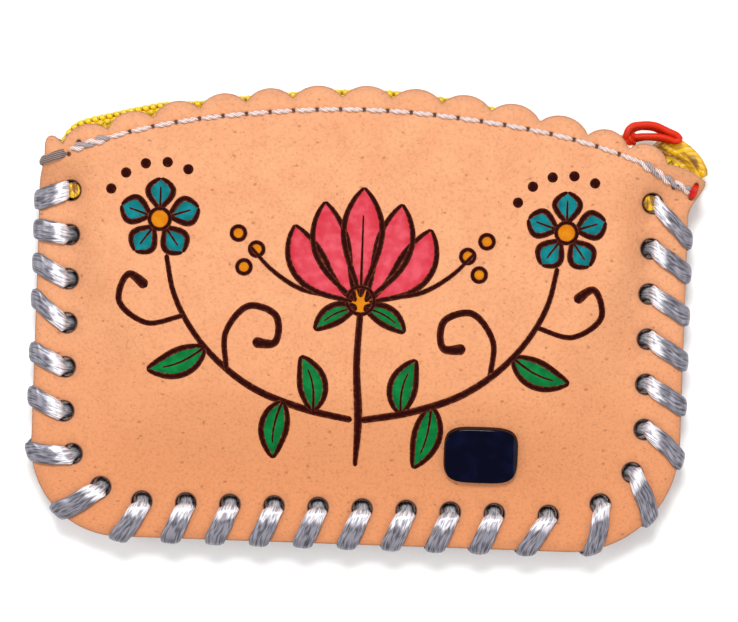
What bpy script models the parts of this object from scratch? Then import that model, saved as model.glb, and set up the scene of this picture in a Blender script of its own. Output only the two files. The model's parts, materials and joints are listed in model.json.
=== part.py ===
"""A leather coin purse with a zipped, scalloped top, lying on its back panel.

Two leather panels are whip-stitched together round the sides and the bottom with a satin
lace, through punched holes. A coil zipper closes the arched top between the panels, and a
cord loop is tied through its slider. A glossy cushion-shaped cabochon is glued on the front.

The frame is in metres: +Z out of the front panel, +X to the right, +Y towards the zipper.
Its origin is on the flat middle of the back panel's outer face, which the purse lies on.
"""

import math

import bmesh
import bpy
import numpy as np
from mathutils import Matrix, Vector

MM = 0.001

# Panel outline, in the plane of the panels
PANEL_HALF_WIDTH = 59.4 * MM
PANEL_HEIGHT = 83.8 * MM
PANEL_BOTTOM_Y = -PANEL_HEIGHT / 2
LEFT_CORNER_RADIUS = 16.5 * MM
RIGHT_CORNER_RADIUS = 20.0 * MM
ARCH_TIP_RADIUS = 155.0 * MM
ARCH_CENTRE_Y = PANEL_HEIGHT / 2 - ARCH_TIP_RADIUS
SCALLOP_COUNTS = (1, 5, 6, 3)  # runs of scallops of one width, from the left
SCALLOP_WIDTHS = (3.5 * MM, 8.5 * MM, 9.0 * MM, 7.7 * MM)  # along the arch, in each run
SCALLOP_DEPTH = 2.1 * MM
SCALLOP_ROUNDNESS = 1.25  # radius of a scallop's arc as a share of half its width
LAST_SCALLOP_RISE = 0.5 * MM  # how far the last scallop, on the right, stands over its valleys
LEFT_SHOULDER_IN = 1.0 * MM  # how far the left end of the arch is inside the side
RIGHT_EAR_OUT = 2.8 * MM  # how far the right end of the arch is outside the side
SHOULDER_HEIGHT = 6.2 * MM  # height over which a side runs out to the end of the arch
POINTS_PER_SCALLOP = 5
POINTS_PER_CORNER = 7

# Panel section
PANEL_THICKNESS = 1.8 * MM
CAVITY_HALF = 4.4 * MM  # half of the room between the panels' inner faces
LACED_HALF_GAP = 0.3 * MM  # the same where the lace pulls the panels together
END_HALF_GAP = 1.0 * MM  # the same at the first and last hole
END_GAP_HEIGHT = 14.0 * MM  # length of side over which the laced gap opens to the end gap
LACED_PAST_END = 0.8 * MM  # how far the laced gap goes on past the first and last hole
RISE_AT_TOP = 7.4 * MM  # distance from the lacing over which the panels part, near the zipper
RISE_AT_BOTTOM = 24.0 * MM
GRID_STEP = 6.0 * MM
FINE_GRID_STEP = 2.2 * MM  # near the sides and the zipper, where the leather curves most
FINE_GRID_WIDTH = 17.0 * MM

# Lacing
HOLE_DIAMETER = 3.5 * MM
HOLE_SIDES = 10
LEFT_HOLE_INSET = 6.6 * MM  # from the panels' edge to the line of holes
RIGHT_HOLE_INSET = 7.4 * MM
BOTTOM_HOLE_INSET = 6.6 * MM
LEFT_HOLE_CORNER = 15.5 * MM  # radius of the line of holes round a corner
RIGHT_HOLE_CORNER = 16.0 * MM
LEFT_FIRST_HOLE_Y = 21.1 * MM
RIGHT_FIRST_HOLE_Y = 22.4 * MM
HOLE_SPACE_COUNTS = (16, 2, 7)  # runs of spaces between the holes, from the top left
HOLE_SPACES = (8.0 * MM, 9.8 * MM, 8.2 * MM)  # one space of each run
LACE_WIDTH = 4.0 * MM  # along the panels' edge
LACE_WIDTH_IN_HOLE = 2.4 * MM
LACE_THICKNESS = 0.9 * MM
LACE_IN_HOLE = 0.65 * MM  # from a hole's middle to the strand in it
LACE_NEAR_HOLE = 1.3 * MM  # the same where the strand comes to the surface
LACE_LEAN_COUNTS = (1, 1, 1, 1, 13, 7, 1, 1)  # runs of front strands, from the top left
LACE_LEANS = (  # how far the strands of each run lean back
    -1.9 * MM, 0.8 * MM, 2.8 * MM, 4.3 * MM, 2.6 * MM, 3.9 * MM, 4.4 * MM, 6.5 * MM
)

# Zipper
ZIP_CENTRE_X = -5.6 * MM
ZIP_RADIUS = 153.93 * MM  # of the middle of the coils
ZIP_LEFT_INSET = 8.8 * MM  # from the panels' side to the end of the main arc
ZIP_RIGHT_INSET = 4.9 * MM
LEFT_BEND_RADIUS = 5.8 * MM
LEFT_BEND_DEG = 72.0
RIGHT_BEND_RADIUS = 7.5 * MM
RIGHT_BEND_DEG = 38.0
COIL_PITCH = 2.72 * MM
COIL_HEIGHT = 1.24 * MM
COIL_HEAD_OVERLAP = 0.3 * MM  # how far a coil's heads reach past the middle
COIL_OUTER = 1.6 * MM
COIL_SPINE_WIDTH = 0.7 * MM
COIL_HEAD_LENGTH = 1.1 * MM
COIL_SPREAD = 1.0 * MM  # how far the slider parts each coil from the middle
TAPE_THICKNESS = 0.4 * MM
TAPE_EDGE = 1.0 * MM  # from the middle of the chain to a tape's inner edge
TAPE_RUN = 8.0 * MM  # how far a tape reaches down inside the purse
TAPE_SHORTEST_RUN = 1.0 * MM  # of the back tape where it turns up
TAPE_STEPS = (5, 18, 13)  # along the left bend, the main arc and past the slider
TAPE_END_RISE = 5.4 * MM  # how far the turned-up end of the back tape reaches from the chain
TWIST_LENGTH = 5.0 * MM
TWIST_DEG = 84.0
ZIP_CLEARANCE = 0.25 * MM
PANEL_CLEARANCE = 0.3 * MM
CURVE_CLEARANCE = 0.5 * MM  # to a panel where it curves, so that the facets stay clear

# Slider, along its own travel
SLIDER_INSET = 14.0 * MM  # from the panels' right side to the slider's middle
SLIDER_LENGTH = 8.2 * MM
SLIDER_FRONT_HALF = 3.3 * MM
SLIDER_REAR_HALF = 2.4 * MM
SLIDER_PLATE = 0.7 * MM
SLIDER_WALL = 0.5 * MM
DIAMOND_HALF = 0.42 * MM
DIAMOND_LENGTH = 2.1 * MM
BAIL_LENGTH = 3.2 * MM
BAIL_FORWARD = 1.5 * MM  # from the slider's middle to the bail's
BAIL_WIDTH = 1.6 * MM
BAIL_THICKNESS = 0.5 * MM
BAIL_OPENING = 1.35 * MM
CORD_DIAMETER = 0.92 * MM

# Cabochon, on the front panel
CABOCHON_FROM_SIDE = 36.5 * MM  # from the panels' right side to its middle
CABOCHON_RISE = 17.4 * MM  # from their bottom to its middle
CABOCHON_SIZE = (13.2 * MM, 10.2 * MM)
CABOCHON_HEIGHT = 1.6 * MM
CABOCHON_ROUNDING = 0.55 * MM
CABOCHON_SQUARENESS = 4.0  # power of the superellipse
CABOCHON_POINTS = 28
CABOCHON_CLEARANCE = 0.4 * MM

PURSE_MIDDLE_Z = CAVITY_HALF + PANEL_THICKNESS


def smooth(value):
    """Ease from 0 to 1 as value goes from 0 to 1, flat at both ends."""
    value = np.clip(value, 0.0, 1.0)
    return value * value * (3.0 - 2.0 * value)


def clear_scene():
    """Remove the objects that the file opened with."""
    for old in list(bpy.data.objects):
        bpy.data.objects.remove(old, do_unlink=True)


def make_collection(name, hidden=False):
    """Add a collection to the scene."""
    collection = bpy.data.collections.new(name)
    collection.hide_render = hidden
    bpy.context.scene.collection.children.link(collection)
    return collection


def make_material(name, colour, roughness, metallic=0.0):
    """Make a Principled material from a linear colour."""
    material = bpy.data.materials.new(name)
    material.use_nodes = True
    shader = material.node_tree.nodes["Principled BSDF"]
    shader.inputs["Base Color"].default_value = (*colour, 1.0)
    shader.inputs["Roughness"].default_value = roughness
    shader.inputs["Metallic"].default_value = metallic
    return material


def add_mesh(name, mesh, collection, material=None):
    """Put a mesh in the scene as an object of that name."""
    thing = bpy.data.objects.new(name, mesh)
    collection.objects.link(thing)
    if material:
        mesh.materials.append(material)
    return thing


def add_boolean(thing, cutter, operation, name):
    """Cut or join a piece with another mesh."""
    modifier = thing.modifiers.new(name, "BOOLEAN")
    modifier.object = cutter
    modifier.operation = operation
    modifier.solver = "EXACT"
    return modifier


def mark_cutter(thing):
    """Show a cutter as wire and keep it out of the model."""
    thing.hide_render = True
    thing.display_type = "WIRE"
    return thing


def flat_piece(name, outline, thickness, collection, material=None, turn=None):
    """Make a flat piece from a closed outline: a filled 2D curve with thickness, as a mesh.

    The outline is in XY and the thickness runs from 0 up Z, before turn is applied.
    """
    curve = bpy.data.curves.new(name + "_outline", "CURVE")
    curve.dimensions = "2D"
    curve.fill_mode = "BOTH"
    curve.extrude = thickness / 2
    spline = curve.splines.new("POLY")
    spline.points.add(len(outline) - 1)
    for point, (x, y) in zip(spline.points, outline):
        point.co = (x, y, 0.0, 1.0)
    spline.use_cyclic_u = True
    guide = bpy.data.objects.new(name + "_outline", curve)
    collection.objects.link(guide)
    bpy.context.view_layer.update()
    shape = guide.evaluated_get(bpy.context.evaluated_depsgraph_get())
    mesh = bpy.data.meshes.new_from_object(shape)
    bpy.data.objects.remove(guide, do_unlink=True)
    mesh.name = name
    matrix = (turn or Matrix()) @ Matrix.Translation((0.0, 0.0, thickness / 2))
    tidy = bmesh.new()
    tidy.from_mesh(mesh)
    bmesh.ops.transform(tidy, matrix=matrix, verts=tidy.verts)
    bmesh.ops.remove_doubles(tidy, verts=tidy.verts, dist=0.001 * MM)
    bmesh.ops.recalc_face_normals(tidy, faces=tidy.faces)
    tidy.to_mesh(mesh)
    tidy.free()
    return add_mesh(name, mesh, collection, material)


def loft(name, rings, collection, material):
    """Make a closed solid through a row of rings, an array of ring, point and XYZ."""
    count, sides, _ = rings.shape
    corners = [tuple(point) for point in rings.reshape(-1, 3)]
    faces = []
    for ring in range(count - 1):
        for side in range(sides):
            following = (side + 1) % sides
            low, high = ring * sides, (ring + 1) * sides
            faces.append((low + side, low + following, high + following, high + side))
    faces.append(tuple(range(sides - 1, -1, -1)))
    faces.append(tuple(range((count - 1) * sides, count * sides)))
    mesh = bpy.data.meshes.new(name)
    mesh.from_pydata(corners, [], faces)
    tidy = bmesh.new()
    tidy.from_mesh(mesh)
    bmesh.ops.recalc_face_normals(tidy, faces=tidy.faces)
    bmesh.ops.triangulate(tidy, faces=tidy.faces)
    tidy.to_mesh(mesh)
    tidy.free()
    return add_mesh(name, mesh, collection, material)


def rounded_depth(x, y, left_x, right_x, bottom_y, left_radius, right_radius):
    """Distance inward from a U with rounded corners that is open at the top."""
    radius = np.where(x < 0, left_radius, right_radius)
    across = np.where(x < 0, left_x - x, x - right_x) + radius
    down = bottom_y + radius - y
    corner = np.hypot(np.maximum(across, 0.0), np.maximum(down, 0.0))
    return radius - corner - np.minimum(np.maximum(across, down), 0.0)


def edge_depth(x, y):
    """Distance inward from the panels' sides and bottom."""
    sides = (-PANEL_HALF_WIDTH, PANEL_HALF_WIDTH, PANEL_BOTTOM_Y)
    return rounded_depth(x, y, *sides, LEFT_CORNER_RADIUS, RIGHT_CORNER_RADIUS)


class LacingLine:
    """The line of lacing holes: down the left side, along the bottom and up the right side."""

    def __init__(self):
        self.left_x = -PANEL_HALF_WIDTH + LEFT_HOLE_INSET
        self.right_x = PANEL_HALF_WIDTH - RIGHT_HOLE_INSET
        self.bottom_y = PANEL_BOTTOM_Y + BOTTOM_HOLE_INSET
        left_down = LEFT_FIRST_HOLE_Y - self.bottom_y - LEFT_HOLE_CORNER
        right_up = RIGHT_FIRST_HOLE_Y - self.bottom_y - RIGHT_HOLE_CORNER
        along = self.right_x - self.left_x - LEFT_HOLE_CORNER - RIGHT_HOLE_CORNER
        quarter = math.pi / 2
        lengths = (left_down, LEFT_HOLE_CORNER * quarter, along, RIGHT_HOLE_CORNER * quarter, right_up)
        self.ends = np.cumsum(lengths)
        self.length = self.ends[-1]
        spaces = np.repeat(HOLE_SPACES, HOLE_SPACE_COUNTS)
        places = np.concatenate([[0.0], np.cumsum(spaces)])
        self.holes = places * self.length / places[-1]

    def frame(self, along):
        """Point at a distance along the line, and the outward direction there."""
        ends = self.ends
        if along < ends[0]:
            return np.array([self.left_x, LEFT_FIRST_HOLE_Y - along]), np.array([-1.0, 0.0])
        if along < ends[1]:
            turned = (along - ends[0]) / LEFT_HOLE_CORNER
            centre = np.array([self.left_x, self.bottom_y]) + LEFT_HOLE_CORNER
            outward = np.array([-math.cos(turned), -math.sin(turned)])
            return centre + LEFT_HOLE_CORNER * outward, outward
        if along < ends[2]:
            x = self.left_x + LEFT_HOLE_CORNER + along - ends[1]
            return np.array([x, self.bottom_y]), np.array([0.0, -1.0])
        if along < ends[3]:
            turned = (along - ends[2]) / RIGHT_HOLE_CORNER
            centre = np.array([self.right_x - RIGHT_HOLE_CORNER, self.bottom_y + RIGHT_HOLE_CORNER])
            outward = np.array([math.sin(turned), -math.cos(turned)])
            return centre + RIGHT_HOLE_CORNER * outward, outward
        y = RIGHT_FIRST_HOLE_Y - (self.length - along)
        return np.array([self.right_x, y]), np.array([1.0, 0.0])

    def at(self, along, outward=0.0):
        """Point at a distance along the line and a distance outward from it."""
        point, direction = self.frame(along)
        return point + direction * outward

    def reach(self, along):
        """Distance outward from the line to the panels' edge."""
        distance = 0.0
        for _ in range(8):
            distance += float(edge_depth(*self.at(along, distance)))
        return distance

    def depth(self, x, y):
        """Distance inward from the line, 0 outside it, and growing upward past its ends."""
        line = (self.left_x, self.right_x, self.bottom_y, LEFT_HOLE_CORNER, RIGHT_HOLE_CORNER)
        beside = rounded_depth(x, y, *line)
        inward = np.where(x < 0, x - self.left_x, self.right_x - x)
        first_y = np.where(x < 0, LEFT_FIRST_HOLE_Y, RIGHT_FIRST_HOLE_Y)
        past_end = y - first_y - LACED_PAST_END
        above = np.hypot(np.maximum(inward, 0.0), np.maximum(past_end, 0.0))
        return np.where(past_end > 0, above, np.maximum(beside, 0.0))


LACING = LacingLine()


def half_gap(x, y):
    """Distance from the purse's middle plane to a panel's inner face."""
    first_y = np.where(x < 0, LEFT_FIRST_HOLE_Y, RIGHT_FIRST_HOLE_Y)
    ends = smooth((y - (first_y - END_GAP_HEIGHT)) / END_GAP_HEIGHT)
    laced = LACED_HALF_GAP + (END_HALF_GAP - LACED_HALF_GAP) * ends
    top_share = smooth((y - PANEL_BOTTOM_Y) / (first_y - PANEL_BOTTOM_Y) * 1.8 - 0.6)
    rise = RISE_AT_BOTTOM + (RISE_AT_TOP - RISE_AT_BOTTOM) * top_share
    return laced + (CAVITY_HALF - laced) * smooth(LACING.depth(x, y) / rise)


def arch_point(share, depth=0.0):
    """Point of the arch at a share of its width, with depth below the scallops' tips."""
    valley = ARCH_TIP_RADIUS - SCALLOP_DEPTH
    left = -math.asin((PANEL_HALF_WIDTH - LEFT_SHOULDER_IN) / valley)
    right = math.asin((PANEL_HALF_WIDTH + RIGHT_EAR_OUT) / valley)
    angle = left + (right - left) * share
    radius = ARCH_TIP_RADIUS - depth
    return radius * math.sin(angle), ARCH_CENTRE_Y + radius * math.cos(angle)


def scallop_points():
    """The scalloped top edge, from right to left, as arcs that meet in valleys."""
    widths = np.repeat(SCALLOP_WIDTHS, SCALLOP_COUNTS)
    ends = np.concatenate([[0.0], np.cumsum(widths)]) / widths.sum()
    rises = np.full(len(widths), SCALLOP_DEPTH)
    rises[-1] = LAST_SCALLOP_RISE
    sagitta = SCALLOP_ROUNDNESS - math.sqrt(SCALLOP_ROUNDNESS**2 - 1.0)
    points = []
    for start, end, rise in zip(ends, ends[1:], rises):
        for step in range(POINTS_PER_SCALLOP):
            share = step / POINTS_PER_SCALLOP
            across = 2.0 * share - 1.0
            sunk = SCALLOP_ROUNDNESS - math.sqrt(SCALLOP_ROUNDNESS**2 - across**2)
            depth = SCALLOP_DEPTH - rise * (1.0 - sunk / sagitta)
            points.append(arch_point(start + (end - start) * share, depth))
    points.append(arch_point(1.0, SCALLOP_DEPTH))
    return points[::-1]


def shoulder_points(side_x, end):
    """A side's top, which eases from the straight side at side_x to the arch's end point."""
    points = []
    for share in (0.0, 0.25, 0.5, 0.75):
        x = side_x + (end[0] - side_x) * float(smooth(share))
        points.append((x, end[1] - SHOULDER_HEIGHT * (1.0 - share)))
    return points


def panel_outline():
    """The outline that both panels share, anticlockwise from the bottom left."""
    points = []
    corners = ((1, RIGHT_CORNER_RADIUS, -math.pi / 2), (-1, LEFT_CORNER_RADIUS, math.pi))
    arcs = []
    for side, radius, start in corners:
        centre = (side * (PANEL_HALF_WIDTH - radius), PANEL_BOTTOM_Y + radius)
        arc = []
        for step in range(POINTS_PER_CORNER + 1):
            angle = start + math.pi / 2 * step / POINTS_PER_CORNER
            x = centre[0] + radius * math.cos(angle)
            arc.append((x, centre[1] + radius * math.sin(angle)))
        arcs.append(arc)
    top = scallop_points()
    points.extend(arcs[0])
    points.extend(shoulder_points(PANEL_HALF_WIDTH, top[0]))
    points.extend(top)
    points.extend(shoulder_points(-PANEL_HALF_WIDTH, top[-1])[::-1])
    points.extend(arcs[1])
    return points


def make_hole_cutters(collection):
    """One cylinder through both panels for each lacing hole."""
    shape = bmesh.new()
    height = 4 * (CAVITY_HALF + PANEL_THICKNESS)
    for along in LACING.holes:
        x, y = LACING.at(along)
        place = Matrix.Translation((x, y, PURSE_MIDDLE_Z))
        bmesh.ops.create_cone(
            shape,
            cap_ends=True,
            segments=HOLE_SIDES,
            radius1=HOLE_DIAMETER / 2,
            radius2=HOLE_DIAMETER / 2,
            depth=height,
            matrix=place,
        )
    mesh = bpy.data.meshes.new("lacing_hole_cutters")
    shape.to_mesh(mesh)
    shape.free()
    return mark_cutter(add_mesh("lacing_hole_cutters", mesh, collection))


def make_outline_cutter(collection):
    """A tall prism of the panels' outline."""
    height = 4 * (CAVITY_HALF + PANEL_THICKNESS)
    place = Matrix.Translation((0.0, 0.0, PURSE_MIDDLE_Z - height / 2))
    cutter = flat_piece("panel_outline_cutter", panel_outline(), height, collection, turn=place)
    return mark_cutter(cutter)


def grid_lines(low, high, fine_low, fine_high):
    """Places of grid lines from low to high, closer together over a width at either end."""
    places = [np.array([low])]
    stretches = ((fine_low, FINE_GRID_STEP), (high - low - fine_low - fine_high, GRID_STEP))
    for width, step in (*stretches, (fine_high, FINE_GRID_STEP)):
        if width > 0:
            start = places[-1][-1]
            places.append(np.linspace(start, start + width, max(round(width / step), 1) + 1)[1:])
    return np.concatenate(places)


def make_panel(name, side, outline_cutter, hole_cutters, collection, material):
    """One leather panel: a bulging sheet of leather, cut to the outline and punched.

    side is 1 for the front panel and -1 for the back one.
    """
    margin = GRID_STEP / 3
    low_x, high_x = -PANEL_HALF_WIDTH - margin, PANEL_HALF_WIDTH + RIGHT_EAR_OUT + margin
    low_y, high_y = PANEL_BOTTOM_Y - margin, ARCH_CENTRE_Y + ARCH_TIP_RADIUS + margin
    columns = grid_lines(low_x, high_x, FINE_GRID_WIDTH, FINE_GRID_WIDTH)
    fine_top = FINE_GRID_WIDTH + high_y - LEFT_FIRST_HOLE_Y - RISE_AT_TOP
    rows = grid_lines(low_y, high_y, 0.0, fine_top)
    sheet = bmesh.new()
    x_steps, y_steps = len(columns) - 1, len(rows) - 1
    bmesh.ops.create_grid(sheet, x_segments=x_steps, y_segments=y_steps, size=0.5)
    for corner in sheet.verts:
        x = columns[round((corner.co.x + 0.5) * x_steps)]
        y = rows[round((corner.co.y + 0.5) * y_steps)]
        corner.co = (x, y, PURSE_MIDDLE_Z + side * float(half_gap(x, y)))
    bmesh.ops.triangulate(sheet, faces=sheet.faces)
    if side < 0:
        bmesh.ops.reverse_faces(sheet, faces=sheet.faces)
    mesh = bpy.data.meshes.new(name)
    sheet.to_mesh(mesh)
    sheet.free()
    panel = add_mesh(name, mesh, collection, material)
    leather = panel.modifiers.new("leather_thickness", "SOLIDIFY")
    leather.thickness = PANEL_THICKNESS
    leather.offset = 1.0
    add_boolean(panel, outline_cutter, "INTERSECT", "cut_to_outline")
    add_boolean(panel, hole_cutters, "DIFFERENCE", "punch_holes")
    flats = panel.modifiers.new("merge_flat_faces", "DECIMATE")
    flats.decimate_type = "DISSOLVE"
    flats.angle_limit = math.radians(0.05)
    return panel


def lace_stations():
    """The lace's route: along the lacing, outward, height above the middle as a share, width.

    Each turn comes up through a hole, leans back over the front edge, round it, and along
    the back to the hole before. Heights are shares of the strand's height over the panel.
    """
    narrow, wide = LACE_WIDTH_IN_HOLE, LACE_WIDTH
    leans = np.repeat(LACE_LEANS, LACE_LEAN_COUNTS)
    stations = []
    last = len(LACING.holes) - 1
    for hole in range(last, -1, -1):
        at, lean = LACING.holes[hole], leans[hole]
        turn = at - lean
        edge = LACING.reach(turn) + PANEL_CLEARANCE + LACE_THICKNESS / 2 + 0.1 * MM
        half_way = (LACE_NEAR_HOLE + edge) / 2
        if hole == last:
            stations.append((at, half_way - 0.5 * MM, -1.0, narrow))
            stations.append((at, LACE_NEAR_HOLE, -1.0, narrow))
        stations.append((at, LACE_IN_HOLE, -0.78, narrow))
        stations.append((at, LACE_IN_HOLE, 0.78, narrow))
        stations.append((at - 0.2 * lean, LACE_NEAR_HOLE, 1.0, 0.75 * wide))
        stations.append((at - 0.6 * lean, half_way, 1.0, wide))
        stations.append((at - 0.92 * lean, edge - 0.95 * MM, 1.0, wide))
        stations.append((at - 0.98 * lean, edge - 0.2 * MM, 0.84, wide))
        stations.append((turn, edge, 0.5, wide))
        stations.append((turn, edge, -0.5, wide))
        before = LACING.holes[hole - 1] if hole else turn - LACE_WIDTH / 2
        stations.append((turn + 0.02 * (before - turn), edge - 0.2 * MM, -0.84, wide))
        stations.append((turn + 0.06 * (before - turn), edge - 0.95 * MM, -1.0, wide))
        if hole:
            stations.append((before + 0.1 * (turn - before), LACE_NEAR_HOLE, -1.0, 0.75 * wide))
    return stations


def make_lace(collection, material):
    """The satin lace, one long flat strand lofted along its whip stitch."""
    stations = lace_stations()
    centres, across = [], []
    for along, outward, level, _ in stations:
        x, y = LACING.at(along, outward)
        gap = float(half_gap(x, y))
        top = gap + PANEL_THICKNESS + PANEL_CLEARANCE + LACE_THICKNESS / 2
        centres.append((x, y, PURSE_MIDDLE_Z + level * top))
        step = 0.1 * MM
        ahead = LACING.at(along + step, outward) - LACING.at(along - step, outward)
        across.append((*ahead, 0.0))
    centres = np.array(centres)
    across = np.array(across)
    tangents = np.gradient(centres, axis=0)
    across /= np.linalg.norm(across, axis=1, keepdims=True)
    upward = np.cross(tangents, across)
    upward /= np.linalg.norm(upward, axis=1, keepdims=True)
    widths = np.array([width for *_, width in stations])[:, None]
    section = ((0.5, 0.0), (0.3, 0.5), (-0.3, 0.5), (-0.5, 0.0), (-0.3, -0.5), (0.3, -0.5))
    rings = [
        centres + across * widths * wide + upward * LACE_THICKNESS * high for wide, high in section
    ]
    return loft("edge_lace", np.stack(rings, axis=1), collection, material)


class ZipLine:
    """The middle line of the zipper's chain: a long arc with a tighter bend at each end.

    It turns steadily to the right, so a place on it is a distance from its left end.
    """

    def __init__(self):
        self.left_angle = self.angle_at(-PANEL_HALF_WIDTH + ZIP_LEFT_INSET)
        self.right_angle = self.angle_at(PANEL_HALF_WIDTH - ZIP_RIGHT_INSET)
        self.slider_angle = self.angle_at(PANEL_HALF_WIDTH - SLIDER_INSET)
        self.left_length = LEFT_BEND_RADIUS * math.radians(LEFT_BEND_DEG)
        self.main_length = ZIP_RADIUS * (self.right_angle - self.left_angle)
        self.right_length = RIGHT_BEND_RADIUS * math.radians(RIGHT_BEND_DEG)
        self.length = self.left_length + self.main_length + self.right_length
        travelled = ZIP_RADIUS * (self.slider_angle - self.left_angle)
        self.slider = self.left_length + travelled

    def angle_at(self, x):
        """Angle from straight up of the main arc's point above x."""
        return math.asin((x - ZIP_CENTRE_X) / ZIP_RADIUS)

    def arc(self, angle):
        """Point of the main arc at an angle from straight up."""
        x = ZIP_CENTRE_X + ZIP_RADIUS * math.sin(angle)
        return np.array([x, ARCH_CENTRE_Y + ZIP_RADIUS * math.cos(angle)])

    def at(self, distance):
        """Point, direction and upward normal in the middle plane."""
        main = distance - self.left_length
        if main < 0:
            angle = self.left_angle + main / LEFT_BEND_RADIUS
            point = self.bend(self.left_angle, angle, LEFT_BEND_RADIUS)
        elif main <= self.main_length:
            angle = self.left_angle + main / ZIP_RADIUS
            point = self.arc(angle)
        else:
            angle = self.right_angle + (main - self.main_length) / RIGHT_BEND_RADIUS
            point = self.bend(self.right_angle, angle, RIGHT_BEND_RADIUS)
        direction = np.array([math.cos(angle), -math.sin(angle)])
        normal = np.array([math.sin(angle), math.cos(angle)])
        return point, direction, normal

    def bend(self, start, angle, radius):
        """Point of a tighter bend that leaves the main arc at the angle start."""
        from_start = np.array([math.sin(start), math.cos(start)])
        centre = self.arc(start) - radius * from_start
        return centre + radius * np.array([math.sin(angle), math.cos(angle)])

    def past_slider(self, distance):
        """How far a place is to the right of the slider's middle."""
        return distance - self.slider


ZIP = ZipLine()


def spread(distance):
    """How far each coil is parted from the middle: not at all left of the slider."""
    start, length = -0.05 * SLIDER_LENGTH, 0.34 * SLIDER_LENGTH
    return COIL_SPREAD * float(smooth((ZIP.past_slider(distance) - start) / length))


def twist(distance):
    """How far the chain has turned on its side, past the slider."""
    start = ZIP.past_slider(distance) - SLIDER_LENGTH / 2 - ZIP_CLEARANCE
    return math.radians(TWIST_DEG) * float(smooth(start / TWIST_LENGTH))


def zip_frame(distance, side):
    """Point, outward across direction and upward direction of the chain, in three dimensions.

    side is 1 for the front half of the zipper and -1 for the back one.
    """
    point, _, normal = ZIP.at(distance)
    turned = twist(distance)
    up = np.array([*(normal * math.cos(turned)), math.sin(turned)])
    across = np.array([*(-normal * math.sin(turned)), math.cos(turned)]) * side
    return np.array([*point, PURSE_MIDDLE_Z]), across, up


def make_coil(name, side, collection, material):
    """One half of the chain: a row of heads on a spine, which mesh with the other half's."""
    half_height = COIL_HEIGHT / 2
    first = 0.0 if side > 0 else COIL_PITCH / 2
    heads = int((ZIP.length - COIL_PITCH / 2) / COIL_PITCH)
    root = COIL_OUTER - COIL_SPINE_WIDTH
    slope = 0.16 * COIL_PITCH
    rings = []
    for head in range(heads):
        middle = first + (head + 0.5) * COIL_PITCH
        half = COIL_HEAD_LENGTH / 2
        for offset, inner in (
            (-half - slope / 2, root),
            (-half + slope / 2, -COIL_HEAD_OVERLAP),
            (half - slope / 2, -COIL_HEAD_OVERLAP),
            (half + slope / 2, root),
        ):
            distance = min(middle + offset, ZIP.length)
            point, across, up = zip_frame(distance, side)
            shift = spread(distance)
            low, high = inner + shift, COIL_OUTER + shift
            section = (
                (low, -0.8 * half_height),
                (high, -half_height),
                (high, half_height),
                (low, 0.8 * half_height),
            )
            rings.append([point + across * wide + up * tall for wide, tall in section])
    return loft(name, np.array(rings), collection, material)


def tape_reach(distance, side):
    """How far a tape reaches across, and how far its run reaches down inside the purse."""
    edge = SLIDER_FRONT_HALF + ZIP_CLEARANCE
    past = ZIP.past_slider(distance) - SLIDER_LENGTH / 2 - ZIP_CLEARANCE
    to_end = (ZIP.length - distance) / (ZIP.length - ZIP.slider - SLIDER_LENGTH / 2)
    if side > 0:
        run = TAPE_RUN * (1.0 - 0.85 * float(smooth(past / TWIST_LENGTH)))
        return edge - 0.4 * MM * float(smooth(past / TWIST_LENGTH)), run
    run = TAPE_RUN * (1.0 - float(smooth((past + 0.5 * TWIST_LENGTH) / (0.6 * TWIST_LENGTH))))
    rise = (TAPE_END_RISE - edge) * float(smooth(past / TWIST_LENGTH))
    rounding = math.sqrt(max(1.0 - (1.0 - min(to_end * 1.6, 1.0)) ** 2, 0.0))
    reach = edge + rise
    return TAPE_EDGE + (reach - TAPE_EDGE) * (0.45 + 0.55 * rounding), run


def tape_run(point, across, up, side, distance):
    """Direction of a tape's run inside the purse, and its thickness direction.

    The run hangs towards the arch's centre. Where the back tape turns up, it hangs from the
    flat part instead, square to it.
    """
    down = np.array([ZIP_CENTRE_X, ARCH_CENTRE_Y, PURSE_MIDDLE_Z]) - point
    down /= np.linalg.norm(down)
    if side < 0:
        share = float(smooth(3.0 * twist(distance)))
        down = (1.0 - share) * down - share * up
        down /= np.linalg.norm(down)
    flat, square = float(down @ across), float(-(down @ up))
    inward = -square * across - flat * up
    return down, inward / np.linalg.norm(inward)


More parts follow.
